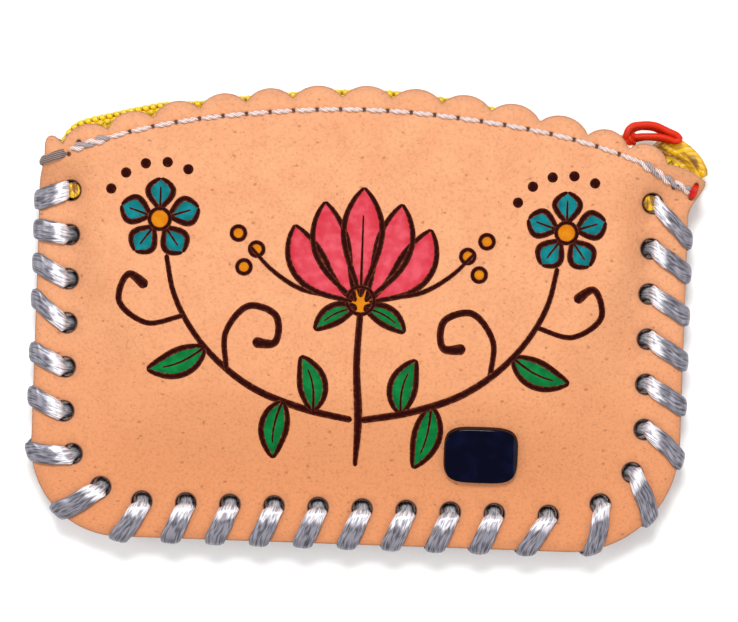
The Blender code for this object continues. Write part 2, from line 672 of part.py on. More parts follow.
def make_tape(name, side, collection, material):
    """One woven tape: flat under its coil, then turned down along its panel's inner face."""
    top = -COIL_HEIGHT / 2 - ZIP_CLEARANCE
    hole_top = HOLE_DIAMETER / 2 + PANEL_CLEARANCE
    slider_front = ZIP.slider + SLIDER_LENGTH / 2
    ends = (0.0, ZIP.left_length, slider_front, ZIP.length)
    distances = [0.0]
    for start, end, steps in zip(ends, ends[1:], TAPE_STEPS):
        distances.extend(np.linspace(start, end, steps + 1)[1:])
    rings = []
    for distance in distances:
        point, across, up = zip_frame(distance, side)
        reach, run = tape_reach(distance, side)
        down, inward = tape_run(point, across, up, side, distance)
        corner = point + across * (reach + TAPE_THICKNESS) + up * top
        to_side = min(point[0] - LACING.left_x, LACING.right_x - point[0])
        if to_side < 2 * HOLE_DIAMETER and down[1] < -0.1:
            first_y = LEFT_FIRST_HOLE_Y if point[0] < 0 else RIGHT_FIRST_HOLE_Y
            run = min(run, (corner[1] - first_y - hole_top) / -down[1])
        run = max(run, TAPE_THICKNESS if side > 0 else TAPE_SHORTEST_RUN)
        skin, lining = [], []
        for share in (0.0, 0.5, 1.0):
            outer = corner + down * (run * share)
            limit = float(half_gap(outer[0], outer[1])) - CURVE_CLEARANCE
            excess = max(side * (outer[2] - PURSE_MIDDLE_Z) - limit, 0.0)
            outer[2] -= side * excess
            skin.append(outer)
            lining.append(outer + inward * TAPE_THICKNESS)
        flat = [point + across * TAPE_EDGE + up * (top - layer) for layer in (TAPE_THICKNESS, 0.0)]
        elbow = point + across * reach + up * (top - TAPE_THICKNESS)
        rings.append([*flat, *skin, *lining[:0:-1], elbow])
    return loft(name, np.array(rings), collection, material)


def slider_outline(rear_half, front_half, extra=0.0):
    """Half-hourglass outline of the slider's plates, or of its channel, in travel and width."""
    half = SLIDER_LENGTH / 2 + extra
    rear_end, front_start = -0.05 * SLIDER_LENGTH, 0.27 * SLIDER_LENGTH
    cut = 0.0 if extra else 0.12 * SLIDER_LENGTH
    edge = [
        (-half, rear_half - cut),
        (-half + cut, rear_half),
        (rear_end, rear_half),
        (front_start, front_half),
        (half - cut, front_half),
        (half, front_half - cut),
    ]
    if not cut:
        edge = [edge[0], edge[2], edge[3], edge[5]]
    return [(x, -y) for x, y in edge] + edge[::-1]


def slider_matrix():
    """Where the slider is at rest: its own X along the travel, Y upward, Z out of the front."""
    point, direction, normal = ZIP.at(ZIP.slider)
    columns = Matrix.Identity(4)
    columns.col[0] = (*direction, 0.0, 0.0)
    columns.col[1] = (*normal, 0.0, 0.0)
    columns.col[3] = (*point, PURSE_MIDDLE_Z, 1.0)
    return columns


def slider_levels():
    """Heights over the chain's middle: bottom plate, tape slot and top plate."""
    tape_top = -COIL_HEIGHT / 2 - ZIP_CLEARANCE
    floor = tape_top - TAPE_THICKNESS - ZIP_CLEARANCE
    ceiling = COIL_HEIGHT / 2 + ZIP_CLEARANCE
    return floor - SLIDER_PLATE, floor, tape_top + ZIP_CLEARANCE, ceiling, ceiling + SLIDER_PLATE


def pivot_matrix():
    """Where the cord's pivot is, in the slider's bail, turned as the slider is."""
    height = slider_levels()[4] + BAIL_OPENING / 2
    return slider_matrix() @ Matrix.Translation((BAIL_FORWARD, height, 0.0))


def bail_outline():
    """Side view of the bail round the pivot: a low arch with its feet sunk in the top plate."""
    plate_top = slider_levels()[4]
    foot = plate_top - SLIDER_PLATE / 2
    rise = plate_top + BAIL_OPENING
    half = BAIL_LENGTH / 2
    wall = 1.3 * BAIL_THICKNESS
    outer = [(-half, foot), (-half, rise - 0.3 * MM), (-half + 0.9 * MM, rise + BAIL_THICKNESS)]
    inner = [(half - wall, foot), (half - wall, rise - 0.4 * MM), (half - wall - 0.5 * MM, rise)]
    arch = outer + [(-x, y) for x, y in outer[::-1]]
    opening = inner + [(-x, y) for x, y in inner[::-1]]
    return [(x + BAIL_FORWARD, y) for x, y in arch + opening]


def make_slider(travel, collection, cutters, material):
    """The slider: two plates joined by a diamond, flanges over the coils, and a bail on top."""
    bottom, floor, flange, ceiling, top = slider_levels()
    stand = Matrix.Rotation(-math.pi / 2, 4, "X")

    def upright(low):
        """Stand a flat piece drawn in travel and width on the height low."""
        return slider_matrix() @ Matrix.Translation((0.0, low, 0.0)) @ stand

    outline = slider_outline(SLIDER_REAR_HALF, SLIDER_FRONT_HALF)
    slider = flat_piece("zipper_slider", outline, top - bottom, collection, material, upright(bottom))
    room = slider_outline(
        SLIDER_REAR_HALF - SLIDER_WALL, SLIDER_FRONT_HALF - SLIDER_WALL, extra=1.0 * MM
    )
    channel = flat_piece("channel_cutter", room, ceiling - floor, cutters, turn=upright(floor))
    reach = 2 * SLIDER_FRONT_HALF
    slot_outline = [(-reach, -reach), (reach, -reach), (reach, reach), (-reach, reach)]
    slot = flat_piece("slot_cutter", slot_outline, flange - floor, cutters, turn=upright(floor))
    front = SLIDER_LENGTH / 2 - 0.1 * MM
    rear = front - DIAMOND_LENGTH
    wide = front - 0.45 * DIAMOND_LENGTH
    post_outline = [(rear, 0.0), (wide, -DIAMOND_HALF), (front, 0.0), (wide, DIAMOND_HALF)]
    post_low, post_high = floor - SLIDER_PLATE / 2, ceiling + SLIDER_PLATE / 2
    post = flat_piece(
        "diamond_shape", post_outline, post_high - post_low, cutters, turn=upright(post_low)
    )
    lift = slider_matrix() @ Matrix.Translation((0.0, 0.0, -BAIL_WIDTH / 2))
    bail = flat_piece("bail_shape", bail_outline(), BAIL_WIDTH, cutters, turn=lift)
    for cutter in (channel, slot, post, bail):
        mark_cutter(cutter)
    add_boolean(slider, channel, "DIFFERENCE", "cut_channel")
    add_boolean(slider, slot, "DIFFERENCE", "cut_tape_slot")
    add_boolean(slider, post, "UNION", "join_diamond")
    add_boolean(slider, bail, "UNION", "join_bail")
    slider.data.transform(Matrix.Translation(travel.location).inverted())
    for cutter in (channel, slot, post, bail):
        cutter.data.transform(Matrix.Translation(travel.location).inverted())
        cutter.parent = travel
    slider.parent = travel
    return slider


# Route of the pull cord: along the travel, upward and out of the front, from its pivot in mm.
# It leaves the bail at the front, makes a wide loop, a second one behind it, and comes back.
PULL_ROUTE = (
    (0.0, 0.0, 0.0),
    (0.0, 0.0, 1.0),
    (0.1, 0.6, 1.6),
    (0.2, 1.9, 1.5),
    (0.6, 3.4, 0.9),
    (1.5, 4.8, 0.7),
    (3.2, 5.7, 0.7),
    (5.2, 6.1, 0.7),
    (7.0, 6.0, 0.7),
    (8.4, 5.3, 0.7),
    (9.3, 4.7, 0.6),
    (9.2, 3.9, 0.6),
    (7.8, 3.8, 0.6),
    (5.8, 3.5, 0.6),
    (3.6, 2.9, 0.6),
    (2.2, 2.6, 0.3),
    (1.7, 3.2, -0.3),
    (2.4, 4.2, -0.6),
    (4.2, 5.0, -0.7),
    (6.0, 5.2, -0.7),
    (7.4, 4.9, -0.7),
    (8.5, 4.4, -0.7),
    (8.5, 3.6, -0.7),
    (7.0, 3.0, -0.8),
    (4.8, 2.4, -0.8),
    (2.8, 1.9, -1.1),
    (1.4, 1.2, -1.6),
    (0.4, 0.4, -1.7),
    (0.0, 0.0, -1.0),
)


def smooth_closed_route(points, between):
    """Points read from a smooth closed curve through the route's own points."""
    points = np.array(points)
    before, after = np.roll(points, 1, axis=0), np.roll(points, -1, axis=0)
    beyond = np.roll(points, -2, axis=0)
    result = []
    for start, a, b, end in zip(before, points, after, beyond):
        for step in range(between):
            t = step / between
            result.append(
                0.5 * (2 * a + (b - start) * t + (2 * start - 5 * a + 4 * b - end) * t**2
                       + (3 * a - start - 3 * b + end) * t**3)
            )
    return result


def make_pull_cord(pivot, collection, material):
    """The cord loop that the slider is pulled by, as one closed tube through the bail."""
    curve = bpy.data.curves.new("pull_cord", "CURVE")
    curve.dimensions = "3D"
    curve.bevel_depth = CORD_DIAMETER / 2
    curve.bevel_resolution = 2
    curve.use_fill_caps = True
    spline = curve.splines.new("POLY")
    route = smooth_closed_route(PULL_ROUTE, 2)
    spline.points.add(len(route) - 1)
    turn = slider_matrix().to_3x3()
    for point, (along, up, out) in zip(spline.points, route):
        place = turn @ Vector((along, up, out)) * MM
        point.co = (*place, 1.0)
    spline.use_cyclic_u = True
    cord = bpy.data.objects.new("pull_cord", curve)
    curve.materials.append(material)
    collection.objects.link(cord)
    cord.parent = pivot
    return cord


def cabochon_matrix():
    """Where the cabochon sits: its own Z square to the leather under its middle."""
    x, y = PANEL_HALF_WIDTH - CABOCHON_FROM_SIDE, PANEL_BOTTOM_Y + CABOCHON_RISE
    step = 1.0 * MM
    slope_x = (half_gap(x + step, y) - half_gap(x - step, y)) / (2 * step)
    slope_y = (half_gap(x, y + step) - half_gap(x, y - step)) / (2 * step)
    normal = Vector((-float(slope_x), -float(slope_y), 1.0)).normalized()
    foot = Vector((x, y, PURSE_MIDDLE_Z + float(half_gap(x, y))))
    rest = foot + normal * (PANEL_THICKNESS + CABOCHON_CLEARANCE)
    turn = Vector((0.0, 0.0, 1.0)).rotation_difference(normal).to_matrix().to_4x4()
    return Matrix.Translation(rest) @ turn


def make_cabochon(collection, material):
    """The glossy cushion-shaped piece that is glued on the front."""
    outline = []
    for step in range(CABOCHON_POINTS):
        angle = 2 * math.pi * step / CABOCHON_POINTS
        power = 2.0 / CABOCHON_SQUARENESS
        x = CABOCHON_SIZE[0] / 2 * math.copysign(abs(math.cos(angle)) ** power, math.cos(angle))
        y = CABOCHON_SIZE[1] / 2 * math.copysign(abs(math.sin(angle)) ** power, math.sin(angle))
        outline.append((x, y))
    cabochon = flat_piece(
        "cabochon", outline, CABOCHON_HEIGHT, collection, material, cabochon_matrix()
    )
    rounding = cabochon.modifiers.new("round_edges", "BEVEL")
    rounding.width = CABOCHON_ROUNDING
    rounding.segments = 2
    rounding.limit_method = "ANGLE"
    rounding.angle_limit = math.radians(60)
    return cabochon


def make_axis(name, place, collection, parent=None):
    """An empty on a joint's axis."""
    axis = bpy.data.objects.new(name, None)
    axis.location = place
    axis.empty_display_size = 5 * MM
    axis.parent = parent
    collection.objects.link(axis)
    return axis


def main():
    """Model the purse."""
    clear_scene()
    parts = make_collection("leather_coin_purse")
    cutters = make_collection("cutters", hidden=True)
    leather = make_material("leather", (0.82, 0.42, 0.22), 0.6)
    satin = make_material("satin_lace", (0.35, 0.36, 0.40), 0.3)
    yellow = make_material("zipper_yellow", (0.75, 0.45, 0.02), 0.45)
    enamel = make_material("slider_yellow", (0.65, 0.40, 0.03), 0.35, 0.6)
    red = make_material("pull_red", (0.80, 0.04, 0.01), 0.35)
    navy = make_material("cabochon_navy", (0.005, 0.006, 0.03), 0.08)

    outline_cutter = make_outline_cutter(cutters)
    hole_cutters = make_hole_cutters(cutters)
    make_panel("front_panel", 1, outline_cutter, hole_cutters, parts, leather)
    make_panel("back_panel", -1, outline_cutter, hole_cutters, parts, leather)
    make_lace(parts, satin)
    make_coil("zipper_coil_front", 1, parts, yellow)
    make_coil("zipper_coil_back", -1, parts, yellow)
    make_tape("zipper_tape_front", 1, parts, yellow)
    make_tape("zipper_tape_back", -1, parts, yellow)

    travel = make_axis(
        "slider_travel_axis", (ZIP_CENTRE_X, ARCH_CENTRE_Y, PURSE_MIDDLE_Z), parts
    )
    make_slider(travel, parts, cutters, enamel)
    pivot_place = pivot_matrix().translation - travel.location
    pivot = make_axis("pull_pivot_axis", pivot_place, parts, travel)
    make_pull_cord(pivot, parts, red)
    make_cabochon(parts, navy)
    bpy.context.view_layer.update()


main()
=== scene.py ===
"""Looks of a flat leather coin purse: scalloped zip top, whip-stitched sides, cord pull, stone."""

from __future__ import annotations

import json
import logging
import math
from dataclasses import dataclass, field
from enum import Enum

import bmesh
import bpy
import numpy as np
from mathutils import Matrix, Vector
from mathutils.geometry import delaunay_2d_cdt

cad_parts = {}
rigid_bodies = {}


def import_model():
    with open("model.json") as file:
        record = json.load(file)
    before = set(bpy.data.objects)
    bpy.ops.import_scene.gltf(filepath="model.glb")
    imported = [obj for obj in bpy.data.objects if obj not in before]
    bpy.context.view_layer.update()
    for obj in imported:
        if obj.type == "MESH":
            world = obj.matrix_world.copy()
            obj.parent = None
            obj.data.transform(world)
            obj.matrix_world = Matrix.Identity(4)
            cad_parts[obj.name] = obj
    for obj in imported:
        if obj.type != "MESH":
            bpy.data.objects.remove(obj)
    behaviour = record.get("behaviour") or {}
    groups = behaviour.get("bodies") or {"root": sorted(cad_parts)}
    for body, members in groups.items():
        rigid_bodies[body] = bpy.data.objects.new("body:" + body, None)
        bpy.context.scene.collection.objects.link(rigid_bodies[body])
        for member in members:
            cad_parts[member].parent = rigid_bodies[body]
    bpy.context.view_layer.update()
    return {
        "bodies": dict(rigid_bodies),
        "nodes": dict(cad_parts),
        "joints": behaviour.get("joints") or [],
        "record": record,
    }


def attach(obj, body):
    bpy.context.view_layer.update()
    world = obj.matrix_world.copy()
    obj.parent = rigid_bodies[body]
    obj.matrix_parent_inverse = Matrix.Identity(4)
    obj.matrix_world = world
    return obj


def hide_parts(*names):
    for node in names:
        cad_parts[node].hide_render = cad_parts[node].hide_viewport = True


LOG = logging.getLogger("coin_purse")
MM = 0.001
LEATHER_GRAIN = 0.45  # mm across
Array = np.ndarray
Tree, Node, Material = bpy.types.NodeTree, bpy.types.Node, bpy.types.Material
Source = bpy.types.NodeSocket | bpy.types.Node
Pairs = tuple[tuple[float, float], ...]
Triples = tuple[tuple[float, float, float], ...]


class Side(Enum):
    """Which half of the purse a piece belongs to."""

    FRONT = 1
    BACK = -1

    @property
    def label(self) -> str:
        """The side's word in the names of pieces."""
        return self.name.lower()

    @property
    def outward(self) -> Array:
        """Direction out of the purse on this side."""
        return np.array([0.0, 0.0, float(self.value)])


def smooth(value: Array | float) -> Array:
    """Ease from 0 to 1 as value goes from 0 to 1, flat at both ends."""
    value = np.clip(value, 0.0, 1.0)
    return value * value * (3.0 - 2.0 * value)


def unit(vectors: Array) -> Array:
    """Vectors of length one along the last axis."""
    return vectors / np.maximum(np.linalg.norm(vectors, axis=-1, keepdims=True), 1e-9)


def signed_power(value: Array, power: float) -> Array:
    """The size of value to a power, with the sign of value."""
    return np.abs(value) ** power * np.sign(value)


def ring_angles(count: int) -> Array:
    """Angles of evenly spaced places round a circle."""
    return np.linspace(0.0, 2 * math.pi, count, endpoint=False)


def on_circle(angle: Array) -> Array:
    """Points of the unit circle at angles from its right."""
    return np.stack([np.cos(angle), np.sin(angle)], axis=-1)


def left_of(path: Array) -> Array:
    """Directions square to a flat path, to its left, at each of its points."""
    forward = unit(np.gradient(path, axis=0))
    return np.stack([-forward[:, 1], forward[:, 0]], axis=-1)


def to_nearest(points: Array, others: Array) -> Array:
    """Distance from each point to the nearest of others, which are taken 200 at a time."""
    parts = [others[start : start + 200] for start in range(0, len(others), 200)]
    found = [np.linalg.norm(points[:, None] - part, axis=2).min(axis=1) for part in parts]
    return np.min(found, axis=0)


def distances(path: Array) -> Array:
    """How far along a path each of its points lies."""
    gaps = np.linalg.norm(np.diff(path, axis=0), axis=1)
    return np.concatenate([[0.0], np.cumsum(gaps)])


def in_full(runs: tuple[tuple[int, float], ...]) -> Array:
    """Values that are given as counts and values, each as often as its count says."""
    counts, values = zip(*runs)
    return np.repeat(values, counts)


def even_path(points: Array, spacing: float) -> tuple[Array, Array]:
    """Read a smooth curve through points at even distances.

    Each stretch is a cubic whose end slopes are the mean slopes beside its ends, weighted by
    the lengths of the stretches.

    Args:
        points: Rows of values; the first three columns are the place.
        spacing: Distance between the points read.

    Returns:
        The points read, and their distances along the curve.
    """
    knots = distances(points[:, :3])
    slopes = np.gradient(points, knots, axis=0)
    places = np.linspace(0.0, knots[-1], max(int(knots[-1] / spacing), 2) + 1)
    spot = np.clip(np.searchsorted(knots, places, side="right") - 1, 0, len(knots) - 2)
    width = np.diff(knots)[spot][:, None]
    share = (places - knots[spot])[:, None] / width
    start, end = points[spot], points[spot + 1]
    rise, fall = slopes[spot] * width, slopes[spot + 1] * width
    curve = (
        (2 * share**3 - 3 * share**2 + 1) * start
        + (share**3 - 2 * share**2 + share) * rise
        + (3 * share**2 - 2 * share**3) * end
        + (share**3 - share**2) * fall
    )
    return curve, places


@dataclass
class Patch:
    """A bit of surface: points in mm and faces, with values and texture places for them.

    Attributes:
        points: One row for each point.
        faces: Blocks of faces, each block with one number of corners.
        texture: For each block, the texture place of each corner, or None.
        values: Named values, one for each point.
    """

    points: Array
    faces: list[Array]
    texture: list[Array | None] = field(default_factory=list)
    values: dict[str, Array] = field(default_factory=dict)


def grid_patch(
    points: Array,
    wrap_rows: bool = False,
    wrap_columns: bool = False,
    caps: bool = False,
    texture: Array | None = None,
    values: dict[str, Array] | None = None,
) -> Patch:
    """Quads between the points of a grid.

    Args:
        points: Rows x columns x 3.
        wrap_rows: Join the last row to the first.
        wrap_columns: Join the last column to the first.
        caps: Close the first and last row of a wrapped grid with one face each.
        texture: Texture places; one more row or column than points where those wrap.
        values: Named values, each for rows x columns or to be repeated over them.

    Returns:
        The surface.
    """
    rows, columns = points.shape[:2]
    row = np.arange(rows if wrap_rows else rows - 1)[:, None]
    column = np.arange(columns if wrap_columns else columns - 1)[None, :]
    row, column = np.broadcast_arrays(row, column)
    corner_rows = np.stack([row, row, row + 1, row + 1], axis=-1)
    corner_columns = np.stack([column, column + 1, column + 1, column], axis=-1)
    quads = (corner_rows % rows) * columns + corner_columns % columns
    places = None
    if texture is not None:
        places = texture[corner_rows, corner_columns].reshape(-1, 4, 2)
    blocks, textures = [quads.reshape(-1, 4)], [places]
    if caps:
        last = (rows - 1) * columns
        blocks.append(np.arange(columns)[None, ::-1])
        blocks.append(last + np.arange(columns)[None, :])
        textures.extend([None, None])
    flat = {
        name: np.broadcast_to(value, (rows, columns)).reshape(-1)
        for name, value in (values or {}).items()
    }
    return Patch(points.reshape(-1, 3), blocks, textures, flat)


def repeated_grids(grids: Array) -> Patch:
    """Many closed grids of one size as one surface: copies x rows x columns x 3."""
    first = grid_patch(grids[0], False, True, True)
    offsets = np.arange(len(grids))[:, None, None] * len(first.points)
    faces = [(block[None] + offsets).reshape(-1, block.shape[1]) for block in first.faces]
    return Patch(grids.reshape(-1, 3), faces)


def tube(
    path: Array,
    section: Array,
    side: Array,
    up: Array,
    closed: bool = False,
    lengths: Array | None = None,
) -> Patch:
    """A profile carried along a path.

    Each point is the path's point plus the profile's two values times the side and up
    directions there.

    Args:
        path: Points of the path.
        section: Profile at each point of the path: stations x points x 2, clockwise seen
            along the path, so that the faces point outwards.
        side: Directions of the profile's first value.
        up: Directions of its second value.
        closed: The path is a loop.
        lengths: Distances along the path, for the texture's second value.

    Returns:
        The surface, with texture places in mm around and along it.
    """
    points = path[:, None] + section[..., :1] * side[:, None] + section[..., 1:] * up[:, None]
    texture = None
    if lengths is not None:
        around = np.linspace(0.0, 1.0, section.shape[1] + 1)
        girth = np.linalg.norm(np.diff(section[len(section) // 2], axis=0), axis=1).sum()
        texture = np.stack(np.meshgrid(around * girth, lengths), axis=-1)
        if closed:
            step = lengths[-1] - lengths[-2]
            texture = np.concatenate([texture, texture[-1:] + np.array([0.0, step])])
    return grid_patch(points, closed, True, not closed, texture)


def tube_towards(path: Array, section: Array, upward: Array, lengths: Array) -> Patch:
    """A profile carried along an open path, its second value as near upward as it can be."""
    along = unit(np.gradient(path, axis=0))
    side = unit(np.cross(along, upward))
    return tube(path, section, side, np.cross(side, along), lengths=lengths)


def round_section(radius: Array, count: int) -> Array:
    """A tube's profile of count points, from a radius for each station or each point."""
    return radius[..., None] * on_circle(-ring_angles(count))


def make_piece(
    name: str,
    patches: list[Patch],
    material: Material,
    body: str,
    replaces: tuple[str, ...] = (),
    sharp_angle: float = 50.0,
) -> bpy.types.Object:
    """Put patches into one smooth-shaded object that moves with a body.

    Args:
        name: Name of the piece.
        patches: Its surfaces, in mm.
        material: Its finish.
        body: Name of the moving body that it belongs to.
        replaces: Names of the solids that it stands for.
        sharp_angle: Edges that turn by more degrees than this are shaded as edges.

    Returns:
        The object.
    """
    points = np.concatenate([patch.points for patch in patches]) * MM
    offsets = np.cumsum([0] + [len(patch.points) for patch in patches])
    faces, places, textured = [], [], False
    for patch, offset in zip(patches, offsets):
        textures = patch.texture or [None] * len(patch.faces)
        for block, texture in zip(patch.faces, textures):
            faces.extend((block + offset).tolist())
            textured = textured or texture is not None
            blank = np.zeros((*block.shape, 2))
            places.append((blank if texture is None else texture).reshape(-1, 2))
    mesh = bpy.data.meshes.new(name)
    mesh.from_pydata(points.tolist(), [], faces)
    if textured:
        layer = mesh.uv_layers.new(name="UVMap")
        layer.data.foreach_set("uv", np.concatenate(places).astype(np.float32).reshape(-1))
    names = sorted({key for patch in patches for key in patch.values})
    for key in names:
        value = [patch.values.get(key, np.zeros(len(patch.points))) for patch in patches]
        layer = mesh.attributes.new(key, "FLOAT", "POINT")
        layer.data.foreach_set("value", np.concatenate(value).astype(np.float32))
    mesh.shade_smooth()
    mesh.set_sharp_from_angle(angle=math.radians(sharp_angle))
    mesh.materials.append(material)
    piece = bpy.data.objects.new(name, mesh)
    bpy.context.scene.collection.objects.link(piece)
    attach(piece, body)
    if replaces:
        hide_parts(*replaces)
    LOG.info("%s: %d points, %d faces, on %s", name, len(points), len(faces), body)
    return piece


# Shared form


@dataclass(frozen=True)
class PurseForm:
    """The shape that the pieces share, in mm: the panels' outline and bulge, and the lacing.

    Attributes:
        scallops: How many scallops, from the left, and how wide.
        scallop_roundness: Radius of a scallop's arc as a share of half its width.
        last_scallop_rise: Height of the last scallop, on the right, over its valleys.
        rise_top: Distance from the lacing over which the panels part, near the zipper.
        spaces: How many spaces between holes, from the top left, and how wide.
    """

    half_width: float = 59.4
    height: float = 83.8
    left_corner: float = 16.5
    right_corner: float = 20.0
    tip_radius: float = 155.0
    scallops: tuple[tuple[int, float], ...] = ((1, 3.5), (5, 8.5), (6, 9.0), (3, 7.7))
    scallop_depth: float = 2.1
    scallop_roundness: float = 1.25
    last_scallop_rise: float = 0.5
    shoulder_in: float = 1.0
    ear_out: float = 2.8
    shoulder_height: float = 6.2
    thickness: float = 1.8
    cavity_half: float = 4.4
    laced_gap: float = 0.3
    end_gap: float = 1.0
    end_gap_height: float = 14.0
    laced_past_end: float = 0.8
    rise_top: float = 7.4
    rise_bottom: float = 24.0
    hole_radius: float = 1.75
    left_inset: float = 5.8
    right_inset: float = 6.7
    bottom_inset: float = 6.6
    left_bend: float = 15.5
    right_bend: float = 16.0
    left_first_y: float = 21.1
    right_first_y: float = 22.4
    spaces: tuple[tuple[int, float], ...] = ((16, 8.0), (2, 9.8), (7, 8.2))

    @property
    def bottom_y(self) -> float:
        """Lowest part of the outline."""
        return -self.height / 2

    @property
    def arch_y(self) -> float:
        """Centre of the scalloped arch."""
        return self.height / 2 - self.tip_radius

    @property
    def middle_z(self) -> float:
        """Height of the plane half-way between the panels."""
        return self.cavity_half + self.thickness

    @property
    def line(self) -> tuple[float, float, float, float, float]:
        """Left, right and bottom of the lacing line and the radii of its bends."""
        left, right = -self.half_width + self.left_inset, self.half_width - self.right_inset
        return left, right, self.bottom_y + self.bottom_inset, self.left_bend, self.right_bend

    @staticmethod
    def depth_in_u(x: Array, y: Array, u_shape: tuple[float, ...]) -> Array:
        """Distance inward from a U with rounded corners that is open at the top."""
        left, right, bottom, left_radius, right_radius = u_shape
        radius = np.where(x < 0, left_radius, right_radius)
        across = np.where(x < 0, left - x, x - right) + radius
        down = bottom + radius - y
        corner = np.hypot(np.maximum(across, 0.0), np.maximum(down, 0.0))
        return radius - corner - np.minimum(np.maximum(across, down), 0.0)

    def edge_depth(self, x: Array, y: Array) -> Array:
        """Distance inward from the panels' sides and bottom."""
        sides = (-self.half_width, self.half_width, self.bottom_y)
        return self.depth_in_u(x, y, (*sides, self.left_corner, self.right_corner))

    def line_ends(self) -> Array:
        """Distances along the lacing line to the ends of its five stretches."""
        left, right, bottom, left_bend, right_bend = self.line
        quarter = math.pi / 2
        lengths = (
            self.left_first_y - bottom - left_bend,
            left_bend * quarter,
            right - left - left_bend - right_bend,
            right_bend * quarter,
            self.right_first_y - bottom - right_bend,
        )
        return np.cumsum(lengths)

    def holes(self) -> Array:
        """Distances of the holes along the lacing line."""
        places = np.concatenate([[0.0], np.cumsum(in_full(self.spaces))])
        return places * self.line_ends()[-1] / places[-1]

    def line_at(self, along: Array, outward: Array | float = 0.0) -> Array:
        """Points at distances along the lacing line and outward from it.

        The outward direction turns from left over down to right in the two bends.
        """
        left, _, _, left_bend, right_bend = self.line
        ends = self.line_ends()
        along = np.asarray(along, dtype=float)
        first = np.clip((along - ends[0]) / left_bend, 0.0, math.pi / 2)
        second = np.clip((along - ends[2]) / right_bend, 0.0, math.pi / 2)
        flat = np.clip(along - ends[1], 0.0, ends[2] - ends[1])
        x = left + left_bend * (1.0 - np.cos(first)) + flat + right_bend * np.sin(second)
        y = (
            self.left_first_y
            - np.minimum(along, ends[0])
            - left_bend * np.sin(first)
            + right_bend * (1.0 - np.cos(second))
            + np.maximum(along - ends[3], 0.0)
        )
        angle = math.pi + first + second
        return np.stack([x + outward * np.cos(angle), y + outward * np.sin(angle)], axis=-1)

    def reach(self, along: float) -> float:
        """Distance outward from the lacing line to the panels' edge."""
        distance = 0.0
        for _ in range(8):
            x, y = self.line_at(along, distance)
            distance += float(self.edge_depth(x, y))
        return distance

    def half_gap(self, x: Array, y: Array) -> Array:
        """Distance from the middle plane to a panel's inner face."""
        left, right, *_ = self.line
        first_y = np.where(x < 0, self.left_first_y, self.right_first_y)
        beside = self.depth_in_u(x, y, self.line)
        inward = np.where(x < 0, x - left, right - x)
        past_end = y - first_y - self.laced_past_end
        above = np.hypot(np.maximum(inward, 0.0), np.maximum(past_end, 0.0))
        depth = np.where(past_end > 0, above, np.maximum(beside, 0.0))
        ends = smooth((y - (first_y - self.end_gap_height)) / self.end_gap_height)
        laced = self.laced_gap + (self.end_gap - self.laced_gap) * ends
        top_share = smooth((y - self.bottom_y) / (first_y - self.bottom_y) * 1.8 - 0.6)
        rise = self.rise_bottom + (self.rise_top - self.rise_bottom) * top_share
        return laced + (self.cavity_half - laced) * smooth(depth / rise)

    def outer(self, x: Array, y: Array) -> Array:
        """Distance from the middle plane to a panel's outer face.

        The outer face lies the leather's thickness from the inner one, square to it, so the
        foot of each place is found by a few steps against the slope.
        """
        step = 0.05
        foot_x, foot_y = np.array(x, dtype=float), np.array(y, dtype=float)
        for _ in range(5):
            slope_x = self.half_gap(foot_x + step, foot_y) - self.half_gap(foot_x - step, foot_y)
            slope_y = self.half_gap(foot_x, foot_y + step) - self.half_gap(foot_x, foot_y - step)
            slope_x, slope_y = slope_x / (2 * step), slope_y / (2 * step)
            steep = np.sqrt(1.0 + slope_x**2 + slope_y**2)
            foot_x = x + self.thickness * slope_x / steep
            foot_y = y + self.thickness * slope_y / steep
        return self.half_gap(foot_x, foot_y) + self.thickness / steep

    def round_arch(self, angle: Array, radius: Array | float) -> Array:
        """Flat points round the arch's centre, at angles from straight up."""
        return np.stack([radius * np.sin(angle), self.arch_y + radius * np.cos(angle)], axis=-1)

    def at_level(self, flat: Array, level: Array, side: Side) -> Array:
        """Points over flat ones, at a distance from the middle plane on one side of it."""
        return np.concatenate([flat, (self.middle_z + side.value * level)[..., None]], axis=-1)

    def on_panel(self, flat: Array, lift: Array | float = 0.0, side: Side = Side.FRONT) -> Array:
        """Points over or under a panel's outer face from their x and y, lift above it."""
        return self.at_level(flat, self.outer(flat[..., 0], flat[..., 1]) + lift, side)

    def arch(self, share: Array, depth: Array | float = 0.0) -> Array:
        """Points of the arch at shares of its width, with depth below the scallops' tips."""
        valley = self.tip_radius - self.scallop_depth
        left = -math.asin((self.half_width - self.shoulder_in) / valley)
        right = math.asin((self.half_width + self.ear_out) / valley)
        return self.round_arch(left + (right - left) * share, self.tip_radius - depth)

    def lobe_depth(self, across: Array | float) -> Array:
        """How far a round lobe has fallen at shares of its half width from its middle."""
        return self.scallop_roundness - np.sqrt(self.scallop_roundness**2 - np.square(across))

